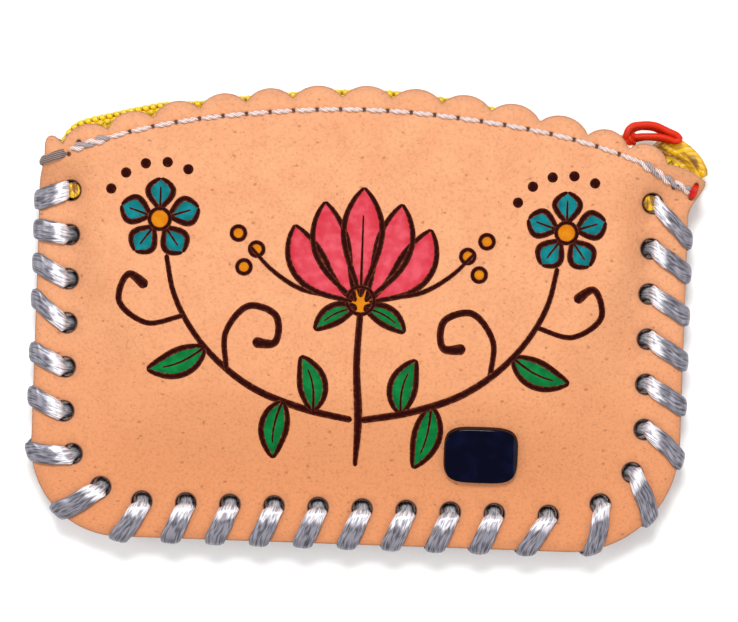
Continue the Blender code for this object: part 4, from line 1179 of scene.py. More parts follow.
@dataclass
class SeamThread:
    """Twisted thread of the stitch rows on both panels, and its over-stitched ends.

    Attributes:
        pressed_in: How much deeper the back stitches sit, which the purse lies on.
        stitch_twist: Length of one turn of a single stitch's strands.
        ply_swing: How far each of two plied strands swings from the row.
        ply_dive: Distance over which they dive into the leather at their ends.
        wrap_front: Where the bundle round the edge lies on the front, and wrap_back the same.
        wrap_half: Half of the bundle's width and thickness.
    """

    form: PurseForm
    row: StitchRow
    pressed_in: float = 0.45
    stitch_twist: float = 2.6
    ply_radius: float = 0.42
    ply_swing: float = 0.4
    ply_dive: float = 1.2
    ply_spacing: float = 0.3
    wrap_front: Pairs = ((-54.4, 28.0), (-55.6, 27.5), (-57.3, 26.9))
    wrap_back: Pairs = ((-57.3, 26.4), (-55.4, 26.4), (-53.8, 26.6))
    wrap_half: tuple[float, float] = (0.75, 0.32)
    around: int = 12

    def stitch(self, start: Array, end: Array, side: Side, thick: float = 1.0) -> Patch:
        """One stitch between two flat points: a twisted two-ply bar whose ends dive in.

        Its profile is a circle pinched twice, turned steadily along the stitch, and its height
        over the leather is high in the middle and below the surface at both ends.
        """
        share = np.linspace(0.0, 1.0, 19)
        radius = self.row.thread * thick
        lift = radius * (1.3 * np.sin(math.pi * share) ** 0.45 - 0.75)
        if side is Side.BACK:
            lift = lift - self.pressed_in
        path = self.form.on_panel(start + (end - start) * share[:, None], lift, side)
        length = math.dist(start, end)
        turn = 2 * math.pi * share * length / self.stitch_twist
        pinch = 1.0 + 0.28 * np.cos(2 * (ring_angles(self.around) - turn[:, None]))
        thin = 0.55 + 0.45 * np.sin(math.pi * share) ** 0.4
        section = round_section(radius * 0.85 * pinch * thin[:, None], self.around)
        return tube_towards(path, section, side.outward, share * length)

    def row_patches(self, side: Side) -> list[Patch]:
        """The single stitches of a panel's row."""
        angles = self.row.hole_angles()
        half = (1.0 - self.row.stitch_length / self.row.pitch) / 2
        step = angles[1] - angles[0]
        patches = []
        for angle in angles[:-1]:
            start, end = self.row.place(angle + half * step), self.row.place(angle + (1 - half) * step)
            patches.append(self.stitch(start, end, side))
        return patches

    def plied_patches(self, first_x: float, last_x: float, side: Side, twist: float) -> list[Patch]:
        """Two strands laid over a stretch of the row and twisted about each other.

        Each strand is a circle carried along a helix that is pressed flat on the leather;
        the second is half a turn behind the first. Their ends dive into the leather.
        """
        first, last = self.row.angle_at(first_x), self.row.angle_at(last_x)
        length = (last - first) * self.row.radius
        share = np.linspace(0.0, 1.0, int(length / self.ply_spacing) + 2)
        angle = first + (last - first) * share
        flat, outward = self.row.place(angle), on_circle(angle)[:, ::-1]
        dive = smooth(share * length / self.ply_dive) * smooth((1.0 - share) * length / self.ply_dive)
        patches = []
        for half_turn in (0.0, math.pi):
            turn = 2 * math.pi * share * length / twist + half_turn
            swing = self.ply_swing * np.cos(turn) * (0.4 + 0.6 * dive)
            lift = -0.45 + dive * (0.65 + 0.2 * np.sin(turn))
            if side is Side.BACK:
                lift = lift - 1.5 * self.pressed_in
            path = self.form.on_panel(flat + outward * swing[:, None], lift, side)
            lumps = 1.0 + 0.16 * np.sin(2.9 * turn + half_turn)
            radius = self.ply_radius * (0.6 + 0.4 * dive) * lumps
            section = round_section(radius[:, None], self.around)
            patches.append(tube_towards(path, section, side.outward, share * length))
        return patches

    def edge_wrap(self) -> Patch:
        """The flat bundle of thread that goes round both panels' edge at the left end.

        It is an ellipse carried from the front face over the edge to the back face. Both its
        ends dive into the leather.
        """
        middle = self.form.middle_z
        front = self.form.on_panel(np.array(self.wrap_front), 0.12)
        back = self.form.on_panel(np.array(self.wrap_back), 0.2, Side.BACK)
        front[0, 2] -= 0.7
        back[-1, 2] += 0.7
        over = np.array([(-58.5, 26.5, front[-1, 2] - 0.4), (-59.05, 26.4, middle + 1.6),
                         (-59.05, 26.3, middle - 1.6), (-58.5, 26.3, back[0, 2] + 0.4)])
        curve, lengths = even_path(np.concatenate([front, over, back]), 0.35)
        along = unit(np.gradient(curve, axis=0))
        wide = unit(np.cross(along, np.cross(np.array([0.25, 1.0, 0.0]), along)))
        around = ring_angles(24)
        strands = 1.0 + 0.16 * np.abs(np.sin(3.0 * around[None] + 0.1 * lengths[:, None]))
        section = strands[..., None] * on_circle(around) * self.wrap_half
        return tube(curve, section, wide, unit(np.cross(along, wide)), lengths=lengths)

    def build(self) -> None:
        """Make the thread of both panels, the bundle round the edge and the last red stitch."""
        thread = SewingThread().material()
        grey = SewingThread("grey_plied_thread", "#b4a8a8", "#706264").material()
        red = SewingThread("red_thread_end", "#ee1808", "#900602").material()
        for side in Side:
            name = side.label
            make_piece(f"{name}_seam_thread", self.row_patches(side), thread, "purse")
            right = self.plied_patches(49.2, 60.1, side, 4.3)
            left = self.plied_patches(-53.6, -46.2, side, 3.9)
            make_piece(f"{name}_plied_ends", [right[0], left[0]], thread, "purse")
            make_piece(f"{name}_grey_plied_ends", [right[1], left[1]], grey, "purse")
        bundle = SewingThread("grey_thread_bundle", "#8e7c78", "#42322e", 0.0).material()
        make_piece("seam_edge_wrap", [self.edge_wrap()], bundle, "purse")
        last = [self.stitch(np.array((60.45, 25.9)), np.array((59.7, 23.8)), Side.FRONT, 1.45)]
        make_piece("red_end_stitch", last, red, "purse")


@dataclass
class WhipStitch:
    """The satin lace: one strand that goes round the purse's edge through every hole.

    Attributes:
        leans: How many front strands, from the top left, and how far they lean back.
    """

    form: PurseForm
    width: float = 4.0
    width_in_hole: float = 2.9
    thickness: float = 0.95
    thick_in_hole: float = 1.5
    in_hole: float = 0.72
    in_hole_behind: float = -0.4
    near_hole: float = 1.4
    clearance: float = 0.03
    edge_clearance: float = 0.12
    leans: tuple[tuple[int, float], ...] = (
        (1, -1.9), (1, 0.8), (1, 2.8), (1, 4.3), (13, 2.6), (7, 3.9), (1, 4.4), (1, 6.5)
    )

    def stations(self) -> Array:
        """Rows of distance along the lacing, outward, height as a share, width and thickness.

        Each turn comes up through a hole, leans back over the front edge, round it, and along
        the back to the hole before.
        """
        narrow, wide = self.width_in_hole, self.width
        thin, thick = self.thickness, self.thick_in_hole
        leans, holes = in_full(self.leans), self.form.holes()
        last = len(holes) - 1
        rows = []
        for hole in range(last, -1, -1):
            at, lean = holes[hole], leans[hole]
            turn = at - lean
            edge = self.form.reach(turn) + self.thickness / 2 + self.edge_clearance
            half_way = (self.near_hole + edge) / 2
            before = holes[hole - 1] if hole else turn - self.width / 2
            if hole == last:
                rows += [(at, half_way - 0.5, -1.0, narrow, thin),
                         (at, self.near_hole, -1.0, narrow, thin)]
            rows += [
                (at, self.in_hole_behind, -0.78, narrow, thick),
                (at, self.in_hole, 0.7, narrow, thick),
                (at - 0.05 * lean, self.in_hole + 0.15, 0.93, 0.93 * wide, 1.3 * thin),
                (at - 0.2 * lean, self.near_hole + 0.2, 1.05, 0.94 * wide, 1.15 * thin),
                (at - 0.6 * lean, half_way, 1.03, wide, 1.1 * thin),
                (at - 0.9 * lean, edge - 1.1, 1.0, wide, 1.1 * thin),
                (at - 0.98 * lean, edge - 0.25, 0.8, 0.9 * wide, 1.1 * thin),
                (turn, edge, 0.3, 0.78 * wide, thin),
                (turn, edge, -0.3, 0.78 * wide, thin),
                (turn + 0.02 * (before - turn), edge - 0.25, -0.8, 0.9 * wide, thin),
                (turn + 0.06 * (before - turn), edge - 1.1, -1.0, wide, thin),
            ]
            if hole:
                back = before + 0.1 * (turn - before)
                rows.append((back, self.near_hole, -1.0, 0.75 * wide, thin))
        return np.array(rows)

    def place(self, along: Array, outward: Array, level: Array) -> Array:
        """Points of the strand's middle from the columns of its stations."""
        flat = self.form.line_at(along, outward)
        on_leather = self.form.half_gap(flat[:, 0], flat[:, 1]) + self.form.thickness
        top = on_leather + self.clearance + self.thickness / 2
        return self.form.at_level(flat, level * top, Side.FRONT)

    def patch(self) -> Patch:
        """The whole strand, a soft ribbon carried along its route."""
        rows = self.stations()
        rough = self.place(rows[:, 0], rows[:, 1], rows[:, 2])
        curve, _ = even_path(np.concatenate([rough, rows], axis=1), 0.5)
        along, outward, level, width, thick = curve[:, 3:].T
        path = self.place(along, outward, np.clip(level, -1.0, 1.06))
        lengths = distances(path)
        ahead = self.form.line_at(along + 0.1, outward) - self.form.line_at(along - 0.1, outward)
        side = unit(np.concatenate([ahead, np.zeros((len(path), 1))], axis=1))
        up = unit(np.cross(unit(np.gradient(path, axis=0)), side))
        around = ring_angles(36)
        ripple = 1.0 + 0.04 * np.sin(3.0 * around + 0.5 * lengths[:, None])
        fold = 1.0 + 0.02 * np.sin(7.0 * around - 0.23 * lengths[:, None])
        across = width[:, None] / 2 * signed_power(np.cos(around), 0.85)
        tall = thick[:, None] / 2 * signed_power(np.sin(around), 0.9) * ripple * fold
        section = np.stack([across, tall], axis=-1)
        patch = tube(path, section, side, up, lengths=lengths)
        # Painted shade: the lace is painted greyer from near its hole out to the purse's edge, where
        # the strand curves down from the light.
        worn = smooth((outward - self.near_hole - 0.2) / 2.3)
        patch.values["worn"] = np.repeat(worn, len(around))
        LOG.info("the lace is %.0f mm long", lengths[-1])
        return patch

    def build(self) -> None:
        """Make the lace."""
        make_piece("satin_lace_strand", [self.patch()], SatinFibre().material(), "purse",
                   ("edge_lace",), sharp_angle=80.0)


@dataclass
class CoilZipper:
    """The zipper: two nylon coils on woven tapes, closed up to the slider.

    Attributes:
        centre_x: Of the zipper's main arc.
        radius: Of that arc, at the middle of the chain.
        waves: How the sewn-in chain wanders up and down: angles in degrees and heights there.
            They are next to nothing where the slider stops at either end of its travel.
        twist_length: Distance past the slider over which the chain turns on its side.
    """

    form: PurseForm
    centre_x: float = -5.6
    radius: float = 153.93
    left_inset: float = 7.9
    right_inset: float = 4.9
    slider_inset: float = 14.0
    left_bend: float = 5.8
    left_bend_turn: float = math.radians(72.0)
    right_bend: float = 7.5
    right_bend_turn: float = math.radians(38.0)
    slider_length: float = 8.2
    clearance: float = 0.25
    pitch: float = 1.36
    wire: float = 0.3
    coil_half_width: float = 0.95
    coil_half_height: float = 0.72
    per_turn: int = 16
    waves: Pairs = (
        (-16.9, 0.0), (-15.4, -0.12), (-12.0, -0.15), (-10.4, -0.7), (-9.2, -1.0), (-5.8, -0.9),
        (-3.0, -0.6), (0.6, 0.0), (3.8, 0.4), (10.4, 0.4), (13.8, 0.25), (17.2, 0.0),
    )
    spread_width: float = 1.0
    twist_length: float = 3.9
    twist_turn: float = math.radians(84.0)
    tape_thickness: float = 0.4
    tape_edge: float = 1.0
    tape_run: float = 8.0
    shortest_run: float = 1.0
    tape_end_rise: float = 6.6
    lobe_end: float = 0.78
    lobe_fold: float = 0.26
    tuft_radius: float = 1.4
    flange_half: float = 3.3
    curve_clearance: float = 0.5

    def angle_at(self, x: float) -> float:
        """Angle from straight up of the main arc's point above x."""
        return math.asin((x - self.centre_x) / self.radius)

    def __post_init__(self) -> None:
        """Work out where the arcs and the slider begin and end."""
        self.start_angle = self.angle_at(-self.form.half_width + self.left_inset)
        self.end_angle = self.angle_at(self.form.half_width - self.right_inset)
        self.slider_angle = self.angle_at(self.form.half_width - self.slider_inset)
        self.left_length = self.left_bend * self.left_bend_turn
        self.main_length = self.radius * (self.end_angle - self.start_angle)
        self.length = self.left_length + self.main_length + self.right_bend * self.right_bend_turn
        self.slider = self.left_length + self.radius * (self.slider_angle - self.start_angle)

    def middle(self, distance: Array) -> tuple[Array, Array]:
        """Flat points of the chain's middle line, and how far its direction has turned.

        The line is three arcs that meet with one direction: a point of a side arc is the main
        arc's end point plus the difference of two radii.
        """
        main = distance - self.left_length
        on_main = np.clip(main, 0.0, self.main_length)
        main_angle = self.start_angle + on_main / self.radius
        angle = (
            main_angle
            + np.minimum(main, 0.0) / self.left_bend
            + np.maximum(main - self.main_length, 0.0) / self.right_bend
        )
        bend = np.where(main < 0, self.left_bend, self.right_bend)
        degrees, heights = np.array(self.waves).T
        radius = self.radius + np.interp(np.degrees(main_angle), degrees, heights)
        turned, straight = on_circle(angle)[:, ::-1], on_circle(main_angle)[:, ::-1]
        centre = np.array([self.centre_x, self.form.arch_y])
        arch = straight * radius[:, None]
        return centre + arch + bend[:, None] * (turned - straight), angle

    def past_slider(self, distance: Array) -> Array:
        """Distances past the slider's right end and its clearance."""
        return distance - self.slider - self.slider_length / 2 - self.clearance

    def twist(self, distance: Array) -> Array:
        """How far the chain has turned on its side, past the slider."""
        return self.twist_turn * smooth(self.past_slider(distance) / self.twist_length)

    def spread(self, distance: Array) -> Array:
        """How far each coil is parted from the middle: not at all left of the slider."""
        past = distance - self.slider + 0.05 * self.slider_length
        return self.spread_width * smooth(past / (0.34 * self.slider_length))

    def frame(self, distance: Array, side: Side) -> tuple[Array, Array, Array, Array]:
        """Point, outward across, upward and forward directions of the chain."""
        flat, angle = self.middle(distance)
        turned = self.twist(distance)
        zero = np.zeros(len(distance))
        point = np.stack([*flat.T, zero + self.form.middle_z], axis=-1)
        normal = np.stack([np.sin(angle), np.cos(angle), zero], axis=-1)
        out = np.array([0.0, 0.0, 1.0])
        up = normal * np.cos(turned)[:, None] + out * np.sin(turned)[:, None]
        across = (out * np.cos(turned)[:, None] - normal * np.sin(turned)[:, None]) * side.value
        forward = np.stack([np.cos(angle), -np.sin(angle), zero], axis=-1)
        return point, across, up, forward

    def coil_patch(self, side: Side) -> Patch:
        """A nylon wire wound into flattened loops that mesh with the other half's.

        The wire's centre goes round an ellipse across and up as it moves along the chain. Its
        own profile lies square to its path: an ellipse that is pressed wide along the chain
        at the outer side of each loop, where it looks like a bead, and narrow at the inner.
        """
        turns = int(self.length / self.pitch) - 1
        start = (0.35 if side is Side.FRONT else 0.85) * self.pitch
        phase = 2 * math.pi * np.arange(turns * self.per_turn + 1) / self.per_turn
        distance = start + phase / (2 * math.pi) * self.pitch
        point, across, up, forward = self.frame(distance, side)
        reach, rise = self.coil_half_width - self.wire, self.coil_half_height - self.wire
        wide = self.coil_half_width - 0.3 + self.spread(distance) - reach * np.cos(phase)
        tall, lean = rise * np.sin(phase), 0.18 * self.pitch * np.cos(phase)
        path = point + across * wide[:, None] + up * tall[:, None] + forward * lean[:, None]
        run = unit(np.gradient(path, axis=0))
        sideways, level = (np.cos(phase) / reach)[:, None], (np.sin(phase) / rise)[:, None]
        square = unit(np.cross(run, unit(up * level - across * sideways)))
        around = ring_angles(12)
        sizes = np.stack([0.44 - 0.15 * np.cos(phase), np.full(len(phase), self.wire)], axis=-1)
        section = sizes[:, None] * on_circle(-around)
        patch = tube(path, section, square, np.cross(square, run))
        # Painted shade where each loop meets the next.
        patch.values["inside"] = np.tile(0.9 * np.abs(np.cos(around)) ** 5, len(phase))
        return patch

    def knot_patch(self, side: Side) -> Patch:
        """The sewing along a coil: rows of small round knots down the edge of its tape.

        Each knot is an egg of latitude rings; rows are half a pitch out of step.
        """
        turn = ring_angles(8)
        rise = np.linspace(-1.0, 1.0, 6)
        ring = np.sqrt(1.02 - rise**2)
        egg = np.stack([
            ring[:, None] * np.cos(turn), rise[:, None] + 0.0 * turn, ring[:, None] * np.sin(turn)
        ], axis=-1)
        rows = []
        last = self.slider + self.slider_length * 0.5 + 1.0
        for row in range(3):
            distance = np.arange(0.5 + 0.5 * self.pitch * (row % 2), last, self.pitch)
            point, across, up, forward = self.frame(distance, side)
            reach, _, top, _ = self.tape_shape(distance, side)
            low = (top - 0.35 - 1.05 * row)[:, None]
            middle = point + across * (reach + self.tape_thickness * 0.9)[:, None] + up * low
            axes = np.stack([forward * -0.62 * side.value, up * 0.56, across * 0.36], axis=1)
            rows.append(middle[:, None, None] + np.einsum("rtk,dkc->drtc", egg, axes))
        patch = repeated_grids(np.concatenate(rows))
        # A little painted shade all over the knots.
        patch.values["inside"] = np.full(len(patch.points), 0.12)
        return patch

    def tape_shape(self, distance: Array, side: Side) -> tuple[Array, Array, Array, Array]:
        """The tape's measures at distances along the chain.

        Returns:
            How far it reaches across, how far it hangs down inside, the height of its flat
            part, and how much of the turn past the slider is done, from 0 to 1.
        """
        past = self.past_slider(distance)
        over = smooth(past / self.twist_length)
        flange = self.flange_half + self.clearance
        top = np.full(len(distance), -self.coil_half_height - 0.2 * self.clearance)
        if side is Side.FRONT:
            return flange - 0.4 * over, self.tape_run * (1.0 - 0.85 * over), top, over
        rolled = smooth((past + 0.5 * self.twist_length) / (0.6 * self.twist_length))
        to_end = (self.length - distance) / (self.length - self.slider - self.slider_length / 2)
        rounding = np.sqrt(np.maximum(1.0 - (1.0 - np.minimum(to_end * 1.6, 1.0)) ** 2, 0.0))
        reach = flange + (self.tape_end_rise - flange) * over
        rounding = self.lobe_end + (1.0 - self.lobe_end) * rounding
        reach = self.tape_edge + (reach - self.tape_edge) * rounding
        return reach, self.tape_run * (1.0 - rolled), top, over

    def tape_patch(self, side: Side) -> Patch:
        """A tape: flat under its coil, then turned down inside along its panel.

        Past the slider the front tape ends at its coil and the back one turns up and spreads
        out as a lobe, whose flat part is rippled by two sine waves along and across it.
        """
        distance = np.linspace(0.0, self.length, 240)
        point, across, up, _ = self.frame(distance, side)
        reach, run, top, over = self.tape_shape(distance, side)
        centre = np.array([self.centre_x, self.form.arch_y, self.form.middle_z])
        down = unit(centre - point)
        if side is Side.BACK:
            share = smooth(3.0 * self.twist(distance))[:, None]
            down = unit((1.0 - share) * down - share * up)
        flat_part = (down * across).sum(axis=1, keepdims=True)
        square_part = -(down * up).sum(axis=1, keepdims=True)
        inward = unit(-square_part * across - flat_part * up)
        corner = point + across * (reach + self.tape_thickness)[:, None] + up * top[:, None]
        left, right, *_ = self.form.line
        first_y = np.where(point[:, 0] < 0, self.form.left_first_y, self.form.right_first_y)
        room = (corner[:, 1] - first_y - self.form.hole_radius - 0.3) / np.maximum(-down[:, 1], 0.1)
        near_side = np.minimum(point[:, 0] - left, right - point[:, 0]) < 4 * self.form.hole_radius
        short = near_side & (down[:, 1] < -0.1)
        run = np.where(short, np.minimum(run, room), run)
        shortest = self.tape_thickness if side is Side.FRONT else self.shortest_run
        run = np.maximum(run, shortest)
        skin, lining = [], []
        for share in np.linspace(0.0, 1.0, 6):
            outer = corner + down * (run * share)[:, None]
            limit = self.form.half_gap(outer[:, 0], outer[:, 1]) - self.curve_clearance
            excess = np.maximum(side.value * (outer[:, 2] - self.form.middle_z) - limit, 0.0)
            outer[:, 2] -= side.value * excess
            skin.append(outer)
            lining.append(outer + inward * self.tape_thickness)
        flats = []
        layers = [(1.0, 0.5), (1.0, 0.0)] + [(0.0, share / 14) for share in range(14)]
        for layer, share in layers:
            wide = self.tape_edge + (reach - self.tape_edge) * share
            wave = np.sin(2 * math.pi * (2.2 * share + 0.05 * distance))
            wave = wave + 0.5 * np.sin(2 * math.pi * (4.6 * share - 0.09 * distance))
            fold = self.lobe_fold * over * wave * math.sin(math.pi * share) ** 0.5
            tall = top - self.tape_thickness * layer + fold
            flats.append(point + across * wide[:, None] + up * tall[:, None])
        elbow = point + across * reach[:, None] + up * (top - self.tape_thickness)[:, None]
        ring = np.stack([*flats, *skin, *lining[:0:-1], elbow], axis=1)
        if side is Side.BACK:
            ring = ring[:, ::-1]
        steps = np.linalg.norm(np.diff(ring, axis=1, append=ring[:, :1]), axis=2).mean(axis=0)
        around = np.append(0.0, np.cumsum(steps))
        texture = np.stack(np.meshgrid(around, distance), axis=-1)
        # The value named folded sets how much painted fold shade the weave gets.
        return grid_patch(ring, False, True, True, texture, {"folded": 0.1 + 0.9 * over[:, None]})

    def tuft_patch(self, hole: float) -> Patch:
        """The tape's end, pushed out through a lacing hole as a small crumpled dome.

        Its rings lead from the hole's wall to the dome's middle; sine waves round it and
        towards its middle are the creases.
        """
        centre = self.form.line_at(np.array([hole]), -0.35)[0]
        share = np.array([1.0, 1.0, 0.97, 0.88, 0.74, 0.58, 0.4, 0.22, 0.05])[:, None]
        height = np.array([-1.4, -0.3, 0.05, 0.25, 0.36, 0.43, 0.48, 0.5, 0.5])[:, None]
        angle = ring_angles(32)
        crease = np.sin(4.0 * angle + 7.0 * share) + np.sin(9.0 * share - 2.0 * angle)
        size = self.tuft_radius * share[..., None]
        grid = self.form.on_panel(centre + size * on_circle(angle),
                                  height + 0.09 * crease * np.sin(math.pi * share))
        places = size * on_circle(np.linspace(0.0, 2 * math.pi, 33))
        return grid_patch(grid, False, True, True, places, {"folded": np.ones((1, 1))})

    def build(self) -> None:
        """Make both coils, both tapes and their ends in the first and last lacing holes."""
        nylon, weave = ZipNylon().material(), ZipTape().material()
        holes = self.form.holes()
        tufts = [self.tuft_patch(holes[0]), self.tuft_patch(holes[-1])]
        make_piece("tape_ends_in_holes", tufts, weave, "purse")
        for side in Side:
            name = side.label
            make_piece(f"{name}_nylon_coil", [self.coil_patch(side)], nylon, "purse",
                       (f"zipper_coil_{name}",), sharp_angle=80.0)
            make_piece(f"{name}_coil_sewing", [self.knot_patch(side)], nylon, "purse",
                       sharp_angle=80.0)
            make_piece(f"{name}_woven_tape", [self.tape_patch(side)], weave, "purse",
                       (f"zipper_tape_{name}",), sharp_angle=60.0)


@dataclass
class SliderAndPull:
    """The enamelled slider and the cord loop that hangs in its bail.

    Attributes:
        bail_forward: Where the cord's pivot is along the chain from the slider's middle, and
            bail_height how far over the chain.
        edge_round: Of the slider's edges.
        route: The loop's points, forward, up and out from the pivot.
        spacing: Distance between the points read along it.
        knot: Forward and up of the knot's middle line.
    """

    form: PurseForm
    zipper: CoilZipper
    frame: dict
    cord_radius: float = 0.62
    bail_forward: float = 1.5
    bail_height: float = 2.245
    edge_round: float = 0.16
    route: Triples = (
        (0.0, 0.0, 0.0), (-0.2, 0.3, 1.0), (-0.3, 1.1, 1.3), (-0.3, 2.1, 1.3), (0.2, 3.0, 1.2),
        (1.3, 3.7, 1.0), (2.9, 4.4, 0.9), (4.4, 4.7, 0.8), (5.8, 4.6, 0.75), (7.2, 4.5, 0.75),
        (8.4, 4.4, 0.7), (9.1, 3.9, 0.7), (8.7, 3.4, 0.7), (7.3, 3.3, 0.7), (5.8, 3.1, 0.7),
        (4.0, 2.5, 0.7), (2.4, 1.85, 0.7), (1.3, 1.4, 0.5), (0.5, 1.7, 0.0), (0.6, 2.6, -0.5),
        (1.5, 3.4, -0.7), (3.0, 4.0, -0.7), (4.6, 4.25, -0.6), (6.0, 4.1, -0.6), (7.4, 4.0, -0.6),
        (8.4, 4.1, -0.6), (8.9, 3.7, -0.6), (8.3, 3.35, -0.6), (6.6, 3.05, -0.6), (4.7, 2.6, -0.7),
        (3.0, 2.0, -1.0), (1.6, 1.1, -1.2), (0.6, 0.4, -1.5), (0.1, -0.1, -1.0),
    )
    spacing: float = 0.2
    around: int = 14
    knot: Pairs = ((-0.5, -0.9), (-0.1, -0.35), (0.4, 0.25), (0.9, 0.95))
    knot_radius: float = 0.85
    knot_turns: float = 2.8

    def pivot(self) -> tuple[Array, Array]:
        """The cord's pivot, and the travel, upward and outward directions there."""
        point, _, up, forward = self.zipper.frame(np.array([self.zipper.slider]), Side.FRONT)
        turn = np.stack([forward[0], up[0], np.array([0.0, 0.0, 1.0])])
        return point[0] + forward[0] * self.bail_forward + up[0] * self.bail_height, turn

    def cord_patch(self) -> Patch:
        """A round cord along the closed route, which goes through the bail."""
        pivot, turn = self.pivot()
        loop = np.array(self.route) @ turn + pivot
        wrapped = np.concatenate([loop[-3:], loop, loop[:4]])
        curve, _ = even_path(wrapped, self.spacing)
        to_start = np.linalg.norm(curve - loop[0], axis=1)
        first, last = np.argmin(to_start[:60]), len(curve) - 60 + np.argmin(to_start[-60:])
        path = curve[first:last]
        lengths = self.spacing * np.arange(len(path))
        forward = unit(np.roll(path, -1, axis=0) - np.roll(path, 1, axis=0))
        side = unit(np.cross(forward, np.array([0.25, 0.1, 1.0])))
        section = round_section(np.full((len(path), 1), self.cord_radius), self.around)
        return tube(path, section, side, np.cross(side, forward), True, lengths)

    def knot_patch(self) -> Patch:
        """The cord's own end, wound round both its strands in front of the bail.

        It is a helix about the knot's middle line, of a circle about the bail's height.
        """
        pivot, turn = self.pivot()
        middle, places = even_path(np.array([(*place, 0.0) for place in self.knot]), 0.02)
        share = places / places[-1]
        angle = 2 * math.pi * self.knot_turns * share
        forward = unit(np.gradient(middle, axis=0))
        square = np.stack([-forward[:, 1], forward[:, 0], 0.0 * share], axis=-1)
        out = np.array([0.0, 0.0, 1.25])
        round_way = square * np.cos(angle)[:, None] + out * np.sin(angle)[:, None]
        path = (middle + self.knot_radius * round_way) @ turn + pivot
        section = round_section(np.full((len(path), 1), 0.9 * self.cord_radius), self.around)
        return tube_towards(path, section, forward @ turn, distances(path))

    def build_slider(self) -> None:
        """The slider's own solid, merged and with its edges rounded."""
        source = self.frame["nodes"]["zipper_slider"].data
        shape = bmesh.new()
        shape.from_mesh(source)
        bmesh.ops.remove_doubles(shape, verts=shape.verts, dist=0.002 * MM)
        bmesh.ops.dissolve_limit(shape, angle_limit=math.radians(1.0), verts=shape.verts,
                                 edges=shape.edges)
        mesh = bpy.data.meshes.new("enamelled_slider")
        shape.to_mesh(mesh)
        shape.free()
        mesh.materials.clear()
        mesh.materials.append(SliderEnamel().material())
        slider = bpy.data.objects.new("enamelled_slider", mesh)
        bpy.context.scene.collection.objects.link(slider)
        rounding = slider.modifiers.new("rounded_edges", "BEVEL")
        rounding.width = self.edge_round * MM
        rounding.segments = 3
        rounding.limit_method = "ANGLE"
        rounding.angle_limit = math.radians(30.0)
        rounding.harden_normals = True
        mesh.shade_smooth()
        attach(slider, "slider")
        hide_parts("zipper_slider")
        LOG.info("enamelled_slider: %d faces, on slider", len(mesh.polygons))

    def build(self) -> None:
        """Make the slider and the cord."""
        self.build_slider()
        braid = PullCordFinish().material()
        make_piece("red_pull_loop", [self.cord_patch()], braid, "pull", ("pull_cord",))
        make_piece("red_pull_knot", [self.knot_patch()], braid, "pull")


@dataclass
class CushionStone:
    """The polished stone glued on the front, with a thin dark brown rim round its foot.

    Attributes:
        wall: Height of its upright wall, and dome how much higher its middle is.
        squareness: Power of the rounded square that is its outline; 2 would be an ellipse.
    """

    form: PurseForm
    centre: tuple[float, float] = (22.9, -24.5)
    half_x: float = 6.6
    half_y: float = 5.1
    wall: float = 1.35
    dome: float = 0.3
    squareness: float = 4.0

    def frame(self) -> tuple[Array, Array]:
        """Foot of the stone on the leather, and its sideways, upward and outward directions."""
        x, y = self.centre
        near = np.array([[x, y], [x + 1, y], [x - 1, y], [x, y + 1], [x, y - 1]])
        foot, right, left, above, below = self.form.on_panel(near)
        out = unit(np.cross(right - left, above - below))
        side = unit(np.cross(np.array([0.0, 1.0, 0.0]), out))
        return foot, np.stack([side, np.cross(out, side), out])

    def patch(self, share: Array, height: Array) -> Patch:
        """A closed surface of rounded-square rings: shares of full size at heights over the foot."""
        around = signed_power(on_circle(-ring_angles(96)), 2.0 / self.squareness)
        ring = around * np.array([self.half_x, self.half_y])
        grid = share[:, None, None] * ring
        level = np.broadcast_to(height[:, None, None], (*grid.shape[:2], 1))
        foot, turn = self.frame()
        return grid_patch(foot + np.concatenate([grid, level], axis=-1) @ turn, False, True, True)

    def stone_patch(self) -> Patch:
        """A low dome on an upright wall, with a small rounding between them."""
        ring = np.linspace(0.0, 1.0, 40)[1:-1] ** 0.6
        dome = self.wall + self.dome * (1.0 - ring**12)
        share = np.concatenate([ring, [0.985, 1.0, 1.0, 1.0, 0.97]])
        height = np.concatenate([dome, [self.wall + 0.08, self.wall - 0.1, 0.5, 0.02, -0.3]])
        return self.patch(share, height)

    def rim_patch(self) -> Patch:
        """A low dark brown bead round the foot."""
        share = np.array([0.97, 1.0, 1.012, 1.025, 1.03])
        return self.patch(share, np.array([0.25, 0.25, 0.18, 0.06, -0.1]))

    def build(self) -> None:
        """Make the stone and its rim."""
        make_piece("polished_stone", [self.stone_patch()], PolishedStone().material(), "purse",
                   ("cabochon",), sharp_angle=60.0)
        dark_rim = DyedLeather("brown_rim", "#3a1a10", "#5a3018").material()
        make_piece("stone_rim_bead", [self.rim_patch()], dark_rim, "purse")


class Dye(Enum):
    """The dyes of the decoration."""

    PINK = DyedLeather("pink_leather_dye", "#b52534", "#cd525f")
    GREEN = DyedLeather("green_leather_dye", "#015326", "#077a3a")
    TEAL = DyedLeather("teal_leather_dye", "#025458", "#0e7f85")
    YELLOW = DyedLeather("yellow_leather_dye", "#b96301", "#c88114")


